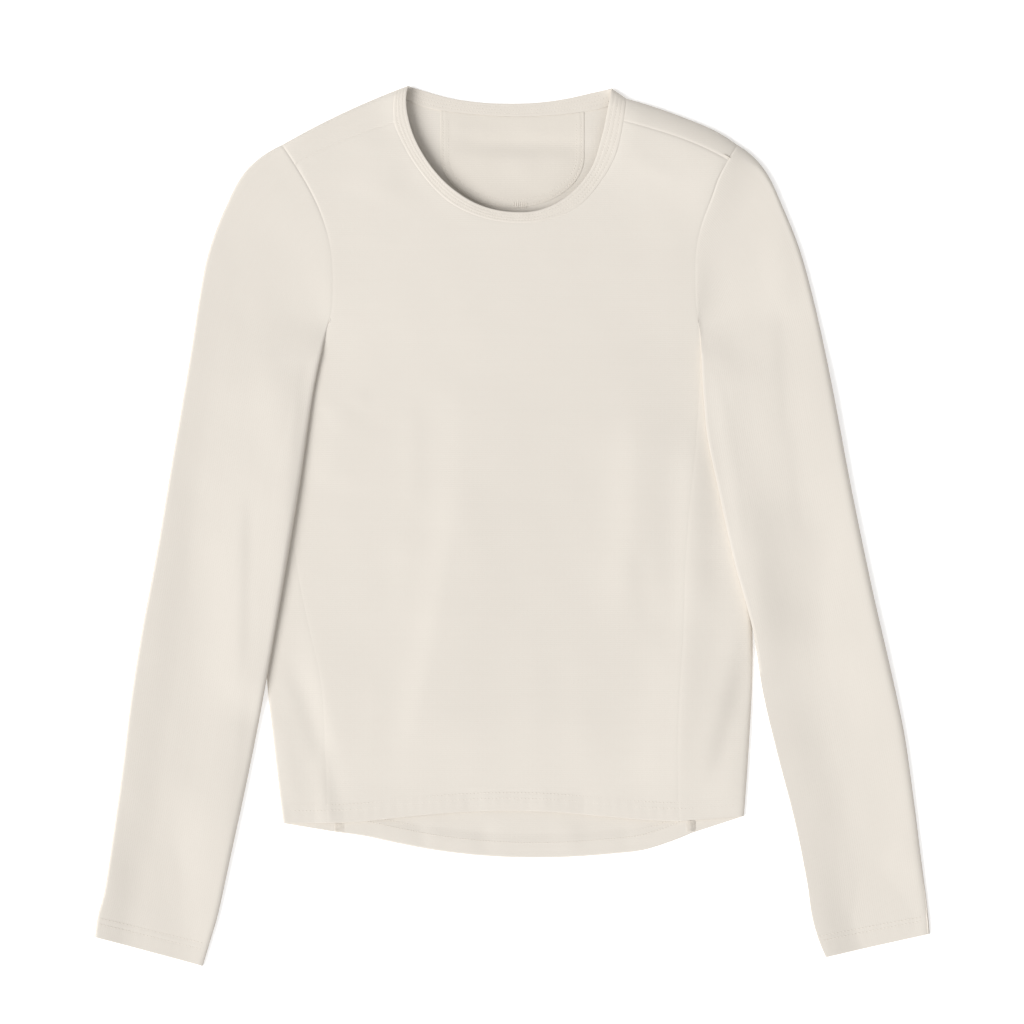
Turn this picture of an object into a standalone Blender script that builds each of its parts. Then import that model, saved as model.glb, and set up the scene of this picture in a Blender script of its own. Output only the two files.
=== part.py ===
# Thermal base layer top with long sleeves, laid flat on its back with the sleeves folded down.
#
# Tables and sizes are in millimetres: x to the right across the chest, y towards the neck, z up off the
# surface. Each piece is the outer face of its cloth, worked out as a grid of points, and a Solidify
# modifier gives it its wall inwards. Neighbouring pieces share the points of the seam between them, and
# each stops half a seam gap short of it.

from collections import namedtuple

import bmesh
import bpy
import numpy as np

MM = 0.001

KNIT_WALL = 1.5
BINDING_WALL = 2.0
PATCH_WALL = 1.0
SEAM_GAP = 0.3
LAYER_GAP = 0.3
SLEEVE_CLEARANCE = 0.6

FOLD_ROUND = 3.8         # how far a shoulder or armhole fold rounds in from its outline
SLEEVE_ROUND = 3.4
SIDE_ROUND = 2.6
FOLD_HEIGHT = 8.0        # outer height where the shoulders and armholes fold over
SLEEVE_FOLD_HEIGHT = 6.8
LEAST_HEIGHT = 4.0       # two walls and a little air, under the deepest trough
SETTLE_LENGTH = 60.0     # how far below the shoulders the body reaches its full height

UNDERARM_REACH = 25.0    # the sleeve begins to climb onto the body this far beside its outline
UNDERARM_MARGIN = 3.0    # and has climbed fully this far before it
LIFT_START = 168.0       # y where the sleeve begins to climb, at the underarm
LIFT_END = 156.0
SIDE_PANEL_TOP = 150.0   # y of the side panels' points
SLEEVE_HEAD = 3          # sections over which a sleeve passes from the armhole's height to its own
SLEEVE_BOW = 5           # sections over which its rings straighten from the armhole's curve

FOLD_SPANS = 3           # facets of each quarter fold
YOKE_SPANS = 2           # rows between a shoulder fold and its forward seam
SHOULDER_SPANS = 5
NECK_FRONT_SPANS = 22
NECK_BACK_SPANS = 10
ARMHOLE_FRONT_SPANS = 8
ARMHOLE_BACK_SPANS = 8
SIDE_SEAM_SPANS = 15
SIDE_PANEL_SPANS = 3
SLEEVE_RINGS = 24
ELBOW_RING = 15          # each sleeve is parted in two nodes here, so that its hollow stays open
UNDERARM_CROWDING = 1.7  # power that draws the under layer's columns to the underarm edge
BINDING_SPANS = 3
PATCH_SPANS = 8
WELD_DISTANCE = 0.01

Point = namedtuple("Point", "x y")
BodySection = namedtuple("BodySection", "y fold_left seam_left seam_right fold_right")
Height = namedtuple("Height", "y left right edge middle")
SleeveSection = namedtuple("SleeveSection", "outer_x outer_y inner_x inner_y middle")
Fold = namedtuple("Fold", "x0 y0 x1 y1 width rise")

# Body outline and front side seams, from the hem up to the underarm.
BODY_SECTIONS = (
    BodySection(-242, -188, -152, 137, 190),
    BodySection(-184, -195, -153.5, 135.5, 194),
    BodySection(-121, -201.5, -158, 138, 197),
    BodySection(-90, -202.5, -165, 140, 197),
    BodySection(-61, -202.5, -171.5, 141, 196),
    BodySection(-30, -201.5, -177, 142, 194.5),
    BodySection(13, -197.5, -178.5, 145, 191),
    BodySection(62, -190.5, -170, 150, 185),
    BodySection(91, -183, -163.5, 152, 180),
    BodySection(120, -174, -159, 154, 172),
    BodySection(144, -162, -155, 154, 162),
    BodySection(170, -148.5, -148.5, 152, 151.5),
)

# Height of the upper layer: at the outline, and where it stands highest in the middle.
BODY_HEIGHTS = (
    Height(-275, -188, 190, 5.2, 8.4),
    Height(-240, -188, 190, 5.2, 8.5),
    Height(-120, -202, 197, 5.2, 9.4),
    Height(0, -199, 192, 5.2, 10.0),
    Height(100, -181, 178, 5.6, 11.0),
    Height(150, -159, 160, 7.2, 12.0),
    Height(175, -148.5, 152, 8.0, 12.4),
    Height(250, -154, 156, 8.0, 13.0),
    Height(311, -189, 184, 8.0, 11.5),
    Height(365, -189, 184, 8.0, 9.5),
)

ARMHOLES = {
    "left": (
        Point(-189, 312.5),
        Point(-176.5, 293.5),
        Point(-166, 275.5),
        Point(-157, 256),
        Point(-149.5, 229.5),
        Point(-147.5, 210),
        Point(-147.5, 190),
        Point(-149, 170.5),
    ),
    "right": (
        Point(184.5, 312.5),
        Point(177.5, 301),
        Point(169.5, 286),
        Point(163, 268),
        Point(156.5, 251),
        Point(152.5, 237),
        Point(150.5, 224),
        Point(150, 204),
        Point(150.5, 186),
        Point(152, 170.5),
    ),
}

# Shoulder folds, from the armhole to the outer edge of the neck binding.
SHOULDER_FOLDS = {
    "left": (Point(-189, 312.5), Point(-162.5, 327), Point(-125, 345), Point(-96, 357)),
    "right": (Point(184.5, 312.5), Point(171, 321.5), Point(139, 335.5), Point(93.5, 350.5)),
}

# Forward shoulder seams, from the armhole to the neck binding.
FORWARD_SEAMS = {
    "left": (Point(-177, 297), Point(-159.5, 307), Point(-141, 315.5), Point(-121.5, 323), Point(-97, 331)),
    "right": (Point(176.5, 300), Point(160.5, 308.5), Point(139, 317.5), Point(116, 325), Point(91, 332)),
}

# Neck binding: its free edge and its sewn edge, on the front and on the back, from left to right.
NECK_FRONT_FREE = (
    Point(-85.5, 361),
    Point(-87, 348),
    Point(-84, 329),
    Point(-71, 301),
    Point(-51, 278),
    Point(-26.5, 263),
    Point(-2, 257.5),
    Point(22.5, 259),
    Point(44, 269.5),
    Point(63.5, 291),
    Point(73, 318),
    Point(79, 346),
    Point(81.5, 359),
)
NECK_FRONT_SEWN = (
    Point(-96, 357),
    Point(-97.5, 343),
    Point(-97, 331),
    Point(-92, 318),
    Point(-76, 291),
    Point(-51, 265),
    Point(-26.5, 253.5),
    Point(4, 248.5),
    Point(31, 251.5),
    Point(55.5, 263),
    Point(72, 281.5),
    Point(83.5, 301),
    Point(91, 332),
    Point(93.5, 350.5),
)
NECK_BACK_FREE = (
    Point(-85.5, 361),
    Point(-71, 356.5),
    Point(-53, 351.5),
    Point(-26.5, 347.5),
    Point(-2.5, 346.5),
    Point(22.5, 347.5),
    Point(44, 350.5),
    Point(64, 355),
    Point(81.5, 359),
)
NECK_BACK_SEWN = (
    Point(-96, 357),
    Point(-79.5, 346.5),
    Point(-54.5, 340.5),
    Point(-26.5, 337.5),
    Point(-2.5, 336),
    Point(31, 337),
    Point(55.5, 339.5),
    Point(76, 343.5),
    Point(93.5, 350.5),
)

FRONT_HEM = (
    Point(-152, -243.5),
    Point(-125, -242.5),
    Point(-96, -239.5),
    Point(-53.5, -235.5),
    Point(-6, -233.5),
    Point(31, -234.5),
    Point(73.5, -238),
    Point(109.5, -241),
    Point(137, -242),
)
BACK_HEM = (
    Point(-143, -251.5),
    Point(-121.5, -254.5),
    Point(-96, -260),
    Point(-70, -265),
    Point(-31.5, -270),
    Point(3, -272),
    Point(48, -271.5),
    Point(81.5, -269),
    Point(107, -266),
    Point(127, -260),
    Point(147, -252),
)
HEM_CORNERS = {"left": Point(-188, -244), "right": Point(190, -238)}

# Sleeve rings from the armhole to the cuff: outline edge, underarm edge, and height in the middle.
SLEEVE_SECTIONS = {
    "left": (
        SleeveSection(-189, 312.5, -149, 170.5, 8.0),
        SleeveSection(-218.5, 291.5, -151.5, 161.5, 8.8),
        SleeveSection(-236.5, 259, -154, 152, 9.2),
        SleeveSection(-249.5, 224, -156.5, 141, 9.4),
        SleeveSection(-256.5, 190, -159.5, 128, 9.6),
        SleeveSection(-263, 148, -163.5, 107, 9.6),
        SleeveSection(-272, 95, -168, 77, 9.6),
        SleeveSection(-280.5, 46, -175, 28, 9.4),
        SleeveSection(-291.5, -19.5, -186, -38, 9.2),
        SleeveSection(-304, -85.5, -197.5, -104, 9.4),
        SleeveSection(-313, -142.5, -208, -161, 9.3),
        SleeveSection(-320, -199.5, -219.5, -218, 9.2),
        SleeveSection(-327.5, -252.5, -231, -271, 9.2),
        SleeveSection(-334.5, -298, -241, -317, 9.2),
        SleeveSection(-340, -319, -248, -341, 9.2),
        SleeveSection(-342.5, -337, -254, -361, 9.2),
    ),
    "right": (
        SleeveSection(184.5, 312.5, 152, 170.5, 8.0),
        SleeveSection(207, 292, 153.5, 162, 8.8),
        SleeveSection(223, 259, 154.5, 152, 9.2),
        SleeveSection(236, 226, 155, 141, 9.4),
        SleeveSection(246.5, 188, 155.5, 126, 9.6),
        SleeveSection(256, 146, 157, 102, 9.6),
        SleeveSection(265.5, 98, 160, 72, 9.6),
        SleeveSection(275, 47, 169, 29, 9.4),
        SleeveSection(286, -8, 181.5, -28, 9.2),
        SleeveSection(298, -64, 196.5, -83, 9.4),
        SleeveSection(310.5, -118, 205.5, -137, 9.3),
        SleeveSection(321.5, -170, 217.5, -188, 9.2),
        SleeveSection(329.5, -226, 231, -240, 9.2),
        SleeveSection(335.5, -274, 241, -289, 9.2),
        SleeveSection(340, -308, 246.5, -324, 9.2),
        SleeveSection(342.5, -334.5, 257, -353.5, 9.2),
    ),
}

# The largest folds: a line on the cloth, half its width, and how far it rises (or sinks, below zero).
BODY_FOLDS = (
    Fold(-190, -112, -155, -198, 8, -1.3),
    Fold(-155, -198, -139, -233, 9, -1.4),
    Fold(192, -92, 160, -206, 9, -1.7),
    Fold(157, 48, 159, -46, 6, -1.1),
    Fold(-59, -22, -90, -157, 13, 0.9),
    Fold(91, 95, 91, -61, 14, 0.9),
    Fold(112, -102, 112, -198, 12, 0.9),
    Fold(-84, 97, -84, 21, 10, 0.7),
    Fold(-45, 81, -45, -22, 12, 0.6),
    Fold(23, -88, 23, -157, 12, 0.6),
    Fold(-178, -40, -172, -110, 9, 0.7),
)
SLEEVE_FOLDS = (
    Fold(-254, 120, -330, -323, 8, -1.1),
    Fold(-213.5, -3, -213.5, -114, 8, -1.2),
    Fold(-194.5, 70, -194.5, -52, 8, 0.8),
    Fold(-235.5, 50, -235.5, -155, 11, 0.9),
    Fold(211, -11, 221, -110, 11, -1.6),
    Fold(221, -110, 236, -175, 11, -1.6),
    Fold(236, -175, 277, -274, 10, -1.2),
    Fold(215, 169, 225, 50, 12, -1.0),
    Fold(244, 111, 314, -155, 9, 0.9),
)

PATCH_LEFT = -59.0
PATCH_RIGHT = 59.0
PATCH_SHOULDER = 303.0   # y where its straight sides turn into the half moon
PATCH_BOTTOM = 261.0

IVORY = (0.80, 0.735, 0.66, 1.0)
IVORY_BINDING = (0.79, 0.725, 0.65, 1.0)
IVORY_PATCH = (0.78, 0.715, 0.64, 1.0)
CLOTH_ROUGHNESS = 0.85


def cubic(knots, values, at):
    # Cubic spans through rows of values, with the slope at each knot that of the parabola through
    # it and its two neighbours.
    knots = np.asarray(knots, float)
    values = np.asarray(values, float)
    gaps = np.diff(knots)
    steep = np.diff(values, axis=0) / gaps[:, None]
    slope = np.empty_like(values)
    before = gaps[:-1, None]
    after = gaps[1:, None]
    slope[1:-1] = (steep[:-1] * after + steep[1:] * before) / (before + after)
    slope[0] = 2 * steep[0] - slope[1]
    slope[-1] = 2 * steep[-1] - slope[-2]
    at = np.clip(at, knots[0], knots[-1])
    span = np.clip(np.searchsorted(knots, at, "right") - 1, 0, len(gaps) - 1)
    gap = gaps[span][..., None]
    u = (at - knots[span])[..., None] / gap
    start = values[span] * (1 + 2 * u) * (1 - u) ** 2 + slope[span] * gap * u * (1 - u) ** 2
    return start + values[span + 1] * u**2 * (3 - 2 * u) + slope[span + 1] * gap * u**2 * (u - 1)


def lengths_along(path):
    return np.concatenate([[0.0], np.cumsum(np.linalg.norm(np.diff(path, axis=0), axis=1))])


def smooth_path(points, spacing=1.0):
    # A curve through the points, as a polyline with a point about every millimetre.
    points = np.array(points, float)
    knots = lengths_along(points)
    return cubic(knots, points, np.linspace(0, knots[-1], int(knots[-1] / spacing) + 2))


def at_distances(path, distances):
    lengths = lengths_along(path)
    return np.stack([np.interp(distances, lengths, path[:, axis]) for axis in (0, 1)], axis=-1)


def evenly(path, spans):
    return at_distances(path, np.linspace(0, lengths_along(path)[-1], spans + 1))


def distance_of(path, point):
    # How far along the path its nearest place to the point is.
    nearest = np.argmin(np.linalg.norm(path - np.array(point, float), axis=1))
    return lengths_along(path)[nearest]


def fold_distances(radius):
    # Distances in from a fold's outline, at equal angles round its quarter circle.
    return radius * (1 - np.cos(np.linspace(0, np.pi / 2, FOLD_SPANS + 1)))


def fold_share(distance, radius):
    # 0 at the outline of a fold, 1 where its quarter circle ends.
    inside = np.clip(1 - distance / radius, 0, 1)
    return np.sqrt(1 - inside**2)


def ease(value):
    value = np.clip(value, 0, 1)
    return value * value * (3 - 2 * value)


def relief(folds, x, y):
    # Each fold is a bell across its line, fading past both ends.
    total = np.zeros_like(x)
    for fold in folds:
        length = np.hypot(fold.x1 - fold.x0, fold.y1 - fold.y0)
        along_x = (fold.x1 - fold.x0) / length
        along_y = (fold.y1 - fold.y0) / length
        along = (x - fold.x0) * along_x + (y - fold.y0) * along_y
        across = (y - fold.y0) * along_x - (x - fold.x0) * along_y
        beyond = np.maximum(np.maximum(-along, along - length), 0)
        total += fold.rise * np.exp(-((across / fold.width) ** 2) - (beyond / (2 * fold.width)) ** 2)
    return total


def shoulder_line(x):
    # y of the garment's upper outline, level across the neck.
    left = SHOULDER_FOLDS["left"]
    right = SHOULDER_FOLDS["right"]
    points = left + right[::-1]
    return np.interp(x, [point.x for point in points], [point.y for point in points])


def body_top(x, y):
    # Outer height of the upper layer: an arch from side to side that settles towards the shoulders.
    rows = cubic([row.y for row in BODY_HEIGHTS], [row[1:] for row in BODY_HEIGHTS], y)
    left, right, edge, middle = np.moveaxis(rows, -1, 0)
    across = np.clip(np.where(x < 0, x / left, x / right), 0, 1)
    settle = ease((shoulder_line(x) - y) / SETTLE_LENGTH)
    height = edge + (middle - edge) * (1 - across**2) * settle
    return np.maximum(height + relief(BODY_FOLDS, x, y), LEAST_HEIGHT)


def body_outline(side, y):
    column = 1 if side == "left" else 4
    values = [[row[column]] for row in BODY_SECTIONS]
    return cubic([row.y for row in BODY_SECTIONS], values, y)[..., 0]


def sleeve_lift(side, x, y):
    # How high the sleeve's under layer stands: nothing beside the body, just clear of it above it.
    outline = body_outline(side, y)
    inside = x - outline if side == "left" else outline - x
    over = ease((inside + UNDERARM_REACH) / (UNDERARM_REACH - UNDERARM_MARGIN))
    begun = ease((LIFT_START - y) / (LIFT_START - LIFT_END))
    return (body_top(x, y) + SLEEVE_CLEARANCE) * over * begun


def shares_along(first, second):
    # Each point's share of the way along, averaged over two facing edges.
    lengths = (lengths_along(first), lengths_along(second))
    return sum(length / length[-1] for length in lengths) / 2


def coons(top, bottom, left, right, fade=1):
    # Plan grid inside four edges: rows run from the top edge to the bottom one, and the pull of each
    # side edge fades across the grid with the given power.
    s = shares_along(top, bottom)[None, :, None]
    t = shares_along(left, right)[:, None, None]
    ruled = (1 - t) * top[None] + t * bottom[None]
    to_left = left[:, None] - ruled[:, :1]
    to_right = right[:, None] - ruled[:, -1:]
    return ruled + (1 - s) ** fade * to_left + s**fade * to_right


def with_height(plan, height):
    return np.concatenate([plan, height[..., None]], axis=-1)


def trimmed(grid, first_row=False, last_row=False, first_column=False, last_column=False):
    # The grid with the named edges drawn back by half a seam gap, square to each edge.
    drawn = grid.copy()
    wanted = ((first_row, 0, 0, 1), (last_row, 0, -1, -2), (first_column, 1, 0, 1), (last_column, 1, -1, -2))
    for trim, axis, edge, inner in wanted:
        if trim:
            lines = np.moveaxis(grid, axis, 0)
            along = np.gradient(lines[edge], axis=0)
            along /= np.linalg.norm(along, axis=-1, keepdims=True)
            step = lines[inner] - lines[edge]
            step -= along * (step * along).sum(axis=-1, keepdims=True)
            step *= SEAM_GAP / 2 / np.linalg.norm(step, axis=-1, keepdims=True)
            np.moveaxis(drawn, axis, 0)[edge] += step
    drawn[..., 2] = np.maximum(drawn[..., 2], 0)
    return drawn


def seam_lines():
    # The points that neighbouring pieces share, for each seam and fold of both sides.
    lines = {}
    front_sewn = smooth_path(NECK_FRONT_SEWN)
    back_sewn = smooth_path(NECK_BACK_SEWN)
    neck_length = lengths_along(front_sewn)[-1]
    inward = fold_distances(FOLD_ROUND)
    neck_marks = {}
    for side in ("left", "right"):
        armhole = smooth_path(ARMHOLES[side])
        length = lengths_along(armhole)[-1]
        forward = smooth_path(FORWARD_SEAMS[side])
        to_forward = distance_of(armhole, forward[0])
        yoke = np.linspace(FOLD_ROUND, to_forward, YOKE_SPANS + 1)
        front = np.linspace(to_forward, length - FOLD_ROUND, ARMHOLE_FRONT_SPANS + 1)
        back = np.linspace(FOLD_ROUND, length - FOLD_ROUND, ARMHOLE_BACK_SPANS + 1)
        outward = length - inward[::-1]
        lines[side, "armhole top"] = np.concatenate([inward, yoke[1:], front[1:], outward[1:]])
        lines[side, "armhole bottom"] = np.concatenate([inward, back[1:], outward[1:]])
        lines[side, "armhole"] = armhole
        lines[side, "armhole yoke"] = at_distances(armhole, np.concatenate([inward, yoke[1:]]))
        lines[side, "armhole front"] = at_distances(armhole, np.append(front, length))
        lines[side, "armhole back"] = at_distances(armhole, np.append(back, length))
        lines[side, "forward"] = evenly(forward, SHOULDER_SPANS)
        lines[side, "forward"][0] = at_distances(armhole, to_forward)
        lines[side, "shoulder"] = evenly(smooth_path(SHOULDER_FOLDS[side]), SHOULDER_SPANS)
        end = distance_of(front_sewn, forward[-1])
        lines[side, "forward"][-1] = at_distances(front_sewn, end)
        end = end if side == "left" else neck_length - end
        neck_marks[side] = np.concatenate([inward, np.linspace(FOLD_ROUND, end, YOKE_SPANS + 1)[1:]])
        for name, line in zip(("side front", "side back", "side fold"), side_lines(side)):
            lines[side, name] = line
    right_marks = neck_length - neck_marks["right"]
    middle = np.linspace(neck_marks["left"][-1], right_marks[-1], NECK_FRONT_SPANS + 1)
    lines["neck front marks"] = np.concatenate([neck_marks["left"], middle[1:-1], right_marks[::-1]])
    lines["neck front"] = at_distances(front_sewn, middle)
    lines["left", "neck yoke"] = at_distances(front_sewn, neck_marks["left"])
    lines["right", "neck yoke"] = at_distances(front_sewn, right_marks)
    back_length = lengths_along(back_sewn)[-1]
    back_middle = np.linspace(FOLD_ROUND, back_length - FOLD_ROUND, NECK_BACK_SPANS + 1)
    lines["neck back"] = at_distances(back_sewn, back_middle)
    lines["left", "neck fold"] = at_distances(back_sewn, inward)
    lines["right", "neck fold"] = at_distances(back_sewn, back_length - inward)
    lines["neck back marks"] = np.concatenate([inward, back_middle[1:-1], back_length - inward[::-1]])
    return lines


def side_lines(side):
    # Front seam, back seam and fold of a side panel, from its point under the arm to the hem.
    y = np.linspace(SIDE_PANEL_TOP, BODY_SECTIONS[0].y, SIDE_SEAM_SPANS + 1)
    rows = cubic([row.y for row in BODY_SECTIONS], [row[1:] for row in BODY_SECTIONS], y)
    fold_x, seam_x = (rows[:, 0], rows[:, 1]) if side == "left" else (rows[:, 3], rows[:, 2])
    down = np.linspace(0, 1, SIDE_SEAM_SPANS + 1) ** 2
    front_end = FRONT_HEM[0] if side == "left" else FRONT_HEM[-1]
    back_end = BACK_HEM[0] if side == "left" else BACK_HEM[-1]
    corner = HEM_CORNERS[side]
    front = np.stack([seam_x, y], axis=-1)
    fold = np.stack([fold_x, y], axis=-1)
    ends = (front_end, back_end, corner)
    starts = (front, front, fold)
    return [line + down[:, None] * (np.array(end) - line[-1]) for line, end in zip(starts, ends)]


def front_panel_grid(lines):
    # Its rows leave the neck seam and its sides run along the forward seam, the armhole and the side.
    left, right = [
        np.vstack([lines[side, "forward"][::-1], lines[side, "armhole front"][1:], lines[side, "side front"]])
        for side in ("left", "right")
    ]
    bottom = evenly(smooth_path(FRONT_HEM), NECK_FRONT_SPANS)
    plan = coons(lines["neck front"], bottom, left, right, fade=2)
    grid = with_height(plan, body_top(plan[..., 0], plan[..., 1]))
    return trimmed(grid, first_row=True, first_column=True, last_column=True)


def yoke_grid(lines, side):
    # The strip of the back panel from the forward seam over the shoulder fold to the surface.
    fold = lines[side, "shoulder"]
    armhole = lines[side, "armhole yoke"]
    neck = lines[side, "neck yoke"]
    top = coons(fold, lines[side, "forward"], armhole, neck)
    rounded = fold_distances(FOLD_ROUND)
    in_from_fold = np.full(len(armhole), FOLD_ROUND)
    in_from_fold[: len(rounded)] = rounded
    share = fold_share(in_from_fold, FOLD_ROUND)[:, None]
    height = body_top(top[..., 0], top[..., 1]) * (0.5 + 0.5 * share)
    upper = with_height(top, height)[::-1]
    under_neck = lines[side, "neck fold"]
    under_armhole = armhole[: len(rounded)]
    under = coons(fold, inset_fold(fold, under_armhole[-1], under_neck[-1]), under_armhole, under_neck)
    share = fold_share(rounded, FOLD_ROUND)[:, None]
    lower = with_height(under, body_top(under[..., 0], under[..., 1]) * (0.5 - 0.5 * share))
    return np.vstack([upper, lower[1:]])


def inset_fold(fold, start, end):
    # The fold line moved in under the shoulder, pinned to the given ends.
    direction = np.gradient(fold, axis=0)
    normal = np.stack([direction[:, 1], -direction[:, 0]], axis=-1)
    normal /= np.linalg.norm(normal, axis=1, keepdims=True)
    normal *= -np.sign(normal[:, 1:])
    line = fold + normal * FOLD_ROUND
    share = np.linspace(0, 1, len(fold))[:, None]
    return line + (1 - share) * (start - line[0]) + share * (end - line[-1])


def back_panel_grids(lines):
    # The under layer, flat on the surface, and both shoulder strips, which share its upper points.
    yokes = {side: yoke_grid(lines, side) for side in ("left", "right")}
    left = np.vstack([lines["left", "armhole back"], lines["left", "side back"]])
    right = np.vstack([lines["right", "armhole back"], lines["right", "side back"]])
    top = np.vstack([yokes["left"][-1, :, :2], lines["neck back"][1:-1], yokes["right"][-1, ::-1, :2]])
    share = (top[:, 0] - top[0, 0]) / (top[-1, 0] - top[0, 0])
    hem = smooth_path(BACK_HEM)
    bottom = at_distances(hem, share * lengths_along(hem)[-1])
    plan = coons(top, bottom, left, right)
    flat = with_height(plan, np.zeros(plan.shape[:2]))
    flat = trimmed(flat, first_column=True, last_column=True)
    neck = slice(SHOULDER_SPANS, SHOULDER_SPANS + NECK_BACK_SPANS + 1)
    flat[:, neck] = trimmed(flat[:, neck], first_row=True)
    grids = [flat]
    for side, first_row in (("left", flat[0]), ("right", flat[0, ::-1])):
        grid = trimmed(yokes[side], first_row=True, first_column=True, last_column=True)
        grid[-1] = first_row[: SHOULDER_SPANS + 1]
        grids.append(grid)
    return grids


def side_panel_grid(lines, side):
    # From the front seam round the side fold, and back under it to the back seam.
    fold = lines[side, "side fold"]
    sheets = []
    for seam, sign in ((lines[side, "side front"], 1), (lines[side, "side back"], -1)):
        width = np.linalg.norm(seam - fold, axis=1)
        rounded = np.minimum(fold_distances(SIDE_ROUND)[None], width[:, None])
        rest = np.linspace(0, 1, SIDE_PANEL_SPANS + 1)[None, 1:]
        distance = np.hstack([rounded, SIDE_ROUND + rest * (width[:, None] - SIDE_ROUND)])
        plan = fold[:, None] + (seam - fold)[:, None] * (distance / width[:, None])[..., None]
        share = fold_share(distance, SIDE_ROUND)
        height = body_top(plan[..., 0], plan[..., 1]) * (0.5 + 0.5 * sign * share)
        sheets.append(with_height(plan, height))
    top, under = sheets
    grid = np.hstack([top[:, ::-1], under[:, 1:]])
    return trimmed(grid, first_column=True, last_column=True)


def sleeve_grid(lines, side):
    # Rings round the flattened tube: over the top from the outline to the underarm edge, then under.
    sections = SLEEVE_SECTIONS[side]
    stations = np.linspace(0, len(sections) - 1, SLEEVE_RINGS + 1)
    rows = cubic(np.arange(len(sections)), sections, stations)
    outer = rows[:, 0:2]
    inner = rows[:, 2:4]
    middle = rows[:, 4]
    width = np.linalg.norm(inner - outer, axis=1)
    length = lengths_along(lines[side, "armhole"])[-1]
    begun = ease(stations / SLEEVE_HEAD)[:, None]
    sheets = []
    for name, sign, crowding in (("armhole top", 1, 1.0), ("armhole bottom", -1, UNDERARM_CROWDING)):
        marks = lines[side, name]
        rounded = fold_distances(SLEEVE_ROUND)
        spans = len(marks) - 2 * len(rounded) + 1
        even = np.linspace(0, 1, spans + 1)[1:-1]
        across = SLEEVE_ROUND + (width[:, None] - 2 * SLEEVE_ROUND) * (1 - (1 - even) ** crowding)
        near = np.tile(rounded, (len(width), 1))
        distance = np.hstack([near, across, width[:, None] - near[:, ::-1]])
        share = (1 - begun) * (marks / length)[None] + begun * distance / width[:, None]
        straight = outer[:, None] + (inner - outer)[:, None] * share[..., None]
        bow = at_distances(lines[side, "armhole"], marks) - straight[0]
        fade = (1 - ease(stations / SLEEVE_BOW))[:, None, None]
        plan = straight + bow[None] * fade
        x, y = plan[..., 0], plan[..., 1]
        from_edge = np.minimum(share, 1 - share) * width[:, None]
        edge = FOLD_HEIGHT + (SLEEVE_FOLD_HEIGHT - FOLD_HEIGHT) * begun
        thick = edge + (middle[:, None] - edge) * 4 * share * (1 - share)
        if sign > 0:
            thick = np.maximum(thick + relief(SLEEVE_FOLDS, x, y) * begun, LEAST_HEIGHT)
        round_in = FOLD_ROUND + (SLEEVE_ROUND - FOLD_ROUND) * begun
        height = sleeve_lift(side, x, y) + thick * (0.5 + 0.5 * sign * fold_share(from_edge, round_in))
        sheets.append(with_height(plan, height))
    top, under = sheets
    under[:, 0] = top[:, 0]
    under[:, -1] = top[:, -1]
    grid = np.hstack([top, under[:, -2:0:-1]])
    return trimmed(grid, first_row=True)


def neckband_grid(lines):
    # A closed ring of strips: along the front, over the left fold, and along the back.
    sheets = []
    edges = (
        (NECK_FRONT_FREE, NECK_FRONT_SEWN, lines["neck front marks"], 1),
        (NECK_BACK_FREE, NECK_BACK_SEWN, lines["neck back marks"], -1),
    )
    for free_points, sewn_points, marks, sign in edges:
        free = smooth_path(free_points)
        sewn = smooth_path(sewn_points)
        free_length = lengths_along(free)[-1]
        sewn_length = lengths_along(sewn)[-1]
        to_end = sewn_length - marks
        ends = np.minimum(marks, to_end)
        stretch = (free_length - 2 * FOLD_ROUND) / (sewn_length - 2 * FOLD_ROUND)
        free_marks = FOLD_ROUND + (marks - FOLD_ROUND) * stretch
        free_marks = np.where(marks < FOLD_ROUND, marks, free_marks)
        free_marks = np.where(to_end < FOLD_ROUND, free_length - to_end, free_marks)
        free_line = at_distances(free, free_marks)
        sewn_line = at_distances(sewn, marks)
        across = np.linspace(0, 1, BINDING_SPANS + 1)[:, None, None]
        plan = free_line + (sewn_line - free_line) * across
        share = fold_share(ends, FOLD_ROUND)[None]
        height = body_top(plan[..., 0], plan[..., 1]) * (0.5 + 0.5 * sign * share)
        sheets.append(with_height(plan, height))
    front, back = sheets
    grid = np.hstack([front, back[:, -2:0:-1]])
    return trimmed(grid, last_row=True)


def back_neck_patch_grid():
    # A half moon on the back panel: straight sides from the binding down, then a rounded lower edge.
    across = np.sin(np.linspace(-np.pi / 2, np.pi / 2, PATCH_SPANS + 1))
    x = (PATCH_LEFT + PATCH_RIGHT) / 2 + across * (PATCH_RIGHT - PATCH_LEFT) / 2
    sewn = smooth_path(NECK_BACK_SEWN)
    top = np.interp(x, sewn[:, 0], sewn[:, 1]) - LAYER_GAP
    bottom = PATCH_SHOULDER - (PATCH_SHOULDER - PATCH_BOTTOM) * np.sqrt(1 - across**2)
    down = np.linspace(0, 1, PATCH_SPANS + 1)[:, None]
    y = top + (bottom - top) * down
    z = np.full(y.shape, KNIT_WALL + LAYER_GAP + PATCH_WALL)
    return np.stack([np.broadcast_to(x, y.shape), y, z], axis=-1)


def cloth_material(name, colour):
    material = bpy.data.materials.new(name)
    material.use_nodes = True
    shader = material.node_tree.nodes["Principled BSDF"]
    shader.inputs["Base Color"].default_value = colour
    shader.inputs["Roughness"].default_value = CLOTH_ROUGHNESS
    shader.inputs["Metallic"].default_value = 0.0
    return material


def add_grid(mesh, grid, ring=False):
    # Four-sided faces between the grid's neighbouring points, closed round where it is a ring.
    rows, columns = grid.shape[:2]
    corners = [[mesh.verts.new(point * MM) for point in row] for row in grid]
    for row in range(rows - 1):
        for column in range(columns if ring else columns - 1):
            beside = (column + 1) % columns
            upper = corners[row]
            lower = corners[row + 1]
            mesh.faces.new((upper[column], lower[column], lower[beside], upper[beside]))


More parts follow.
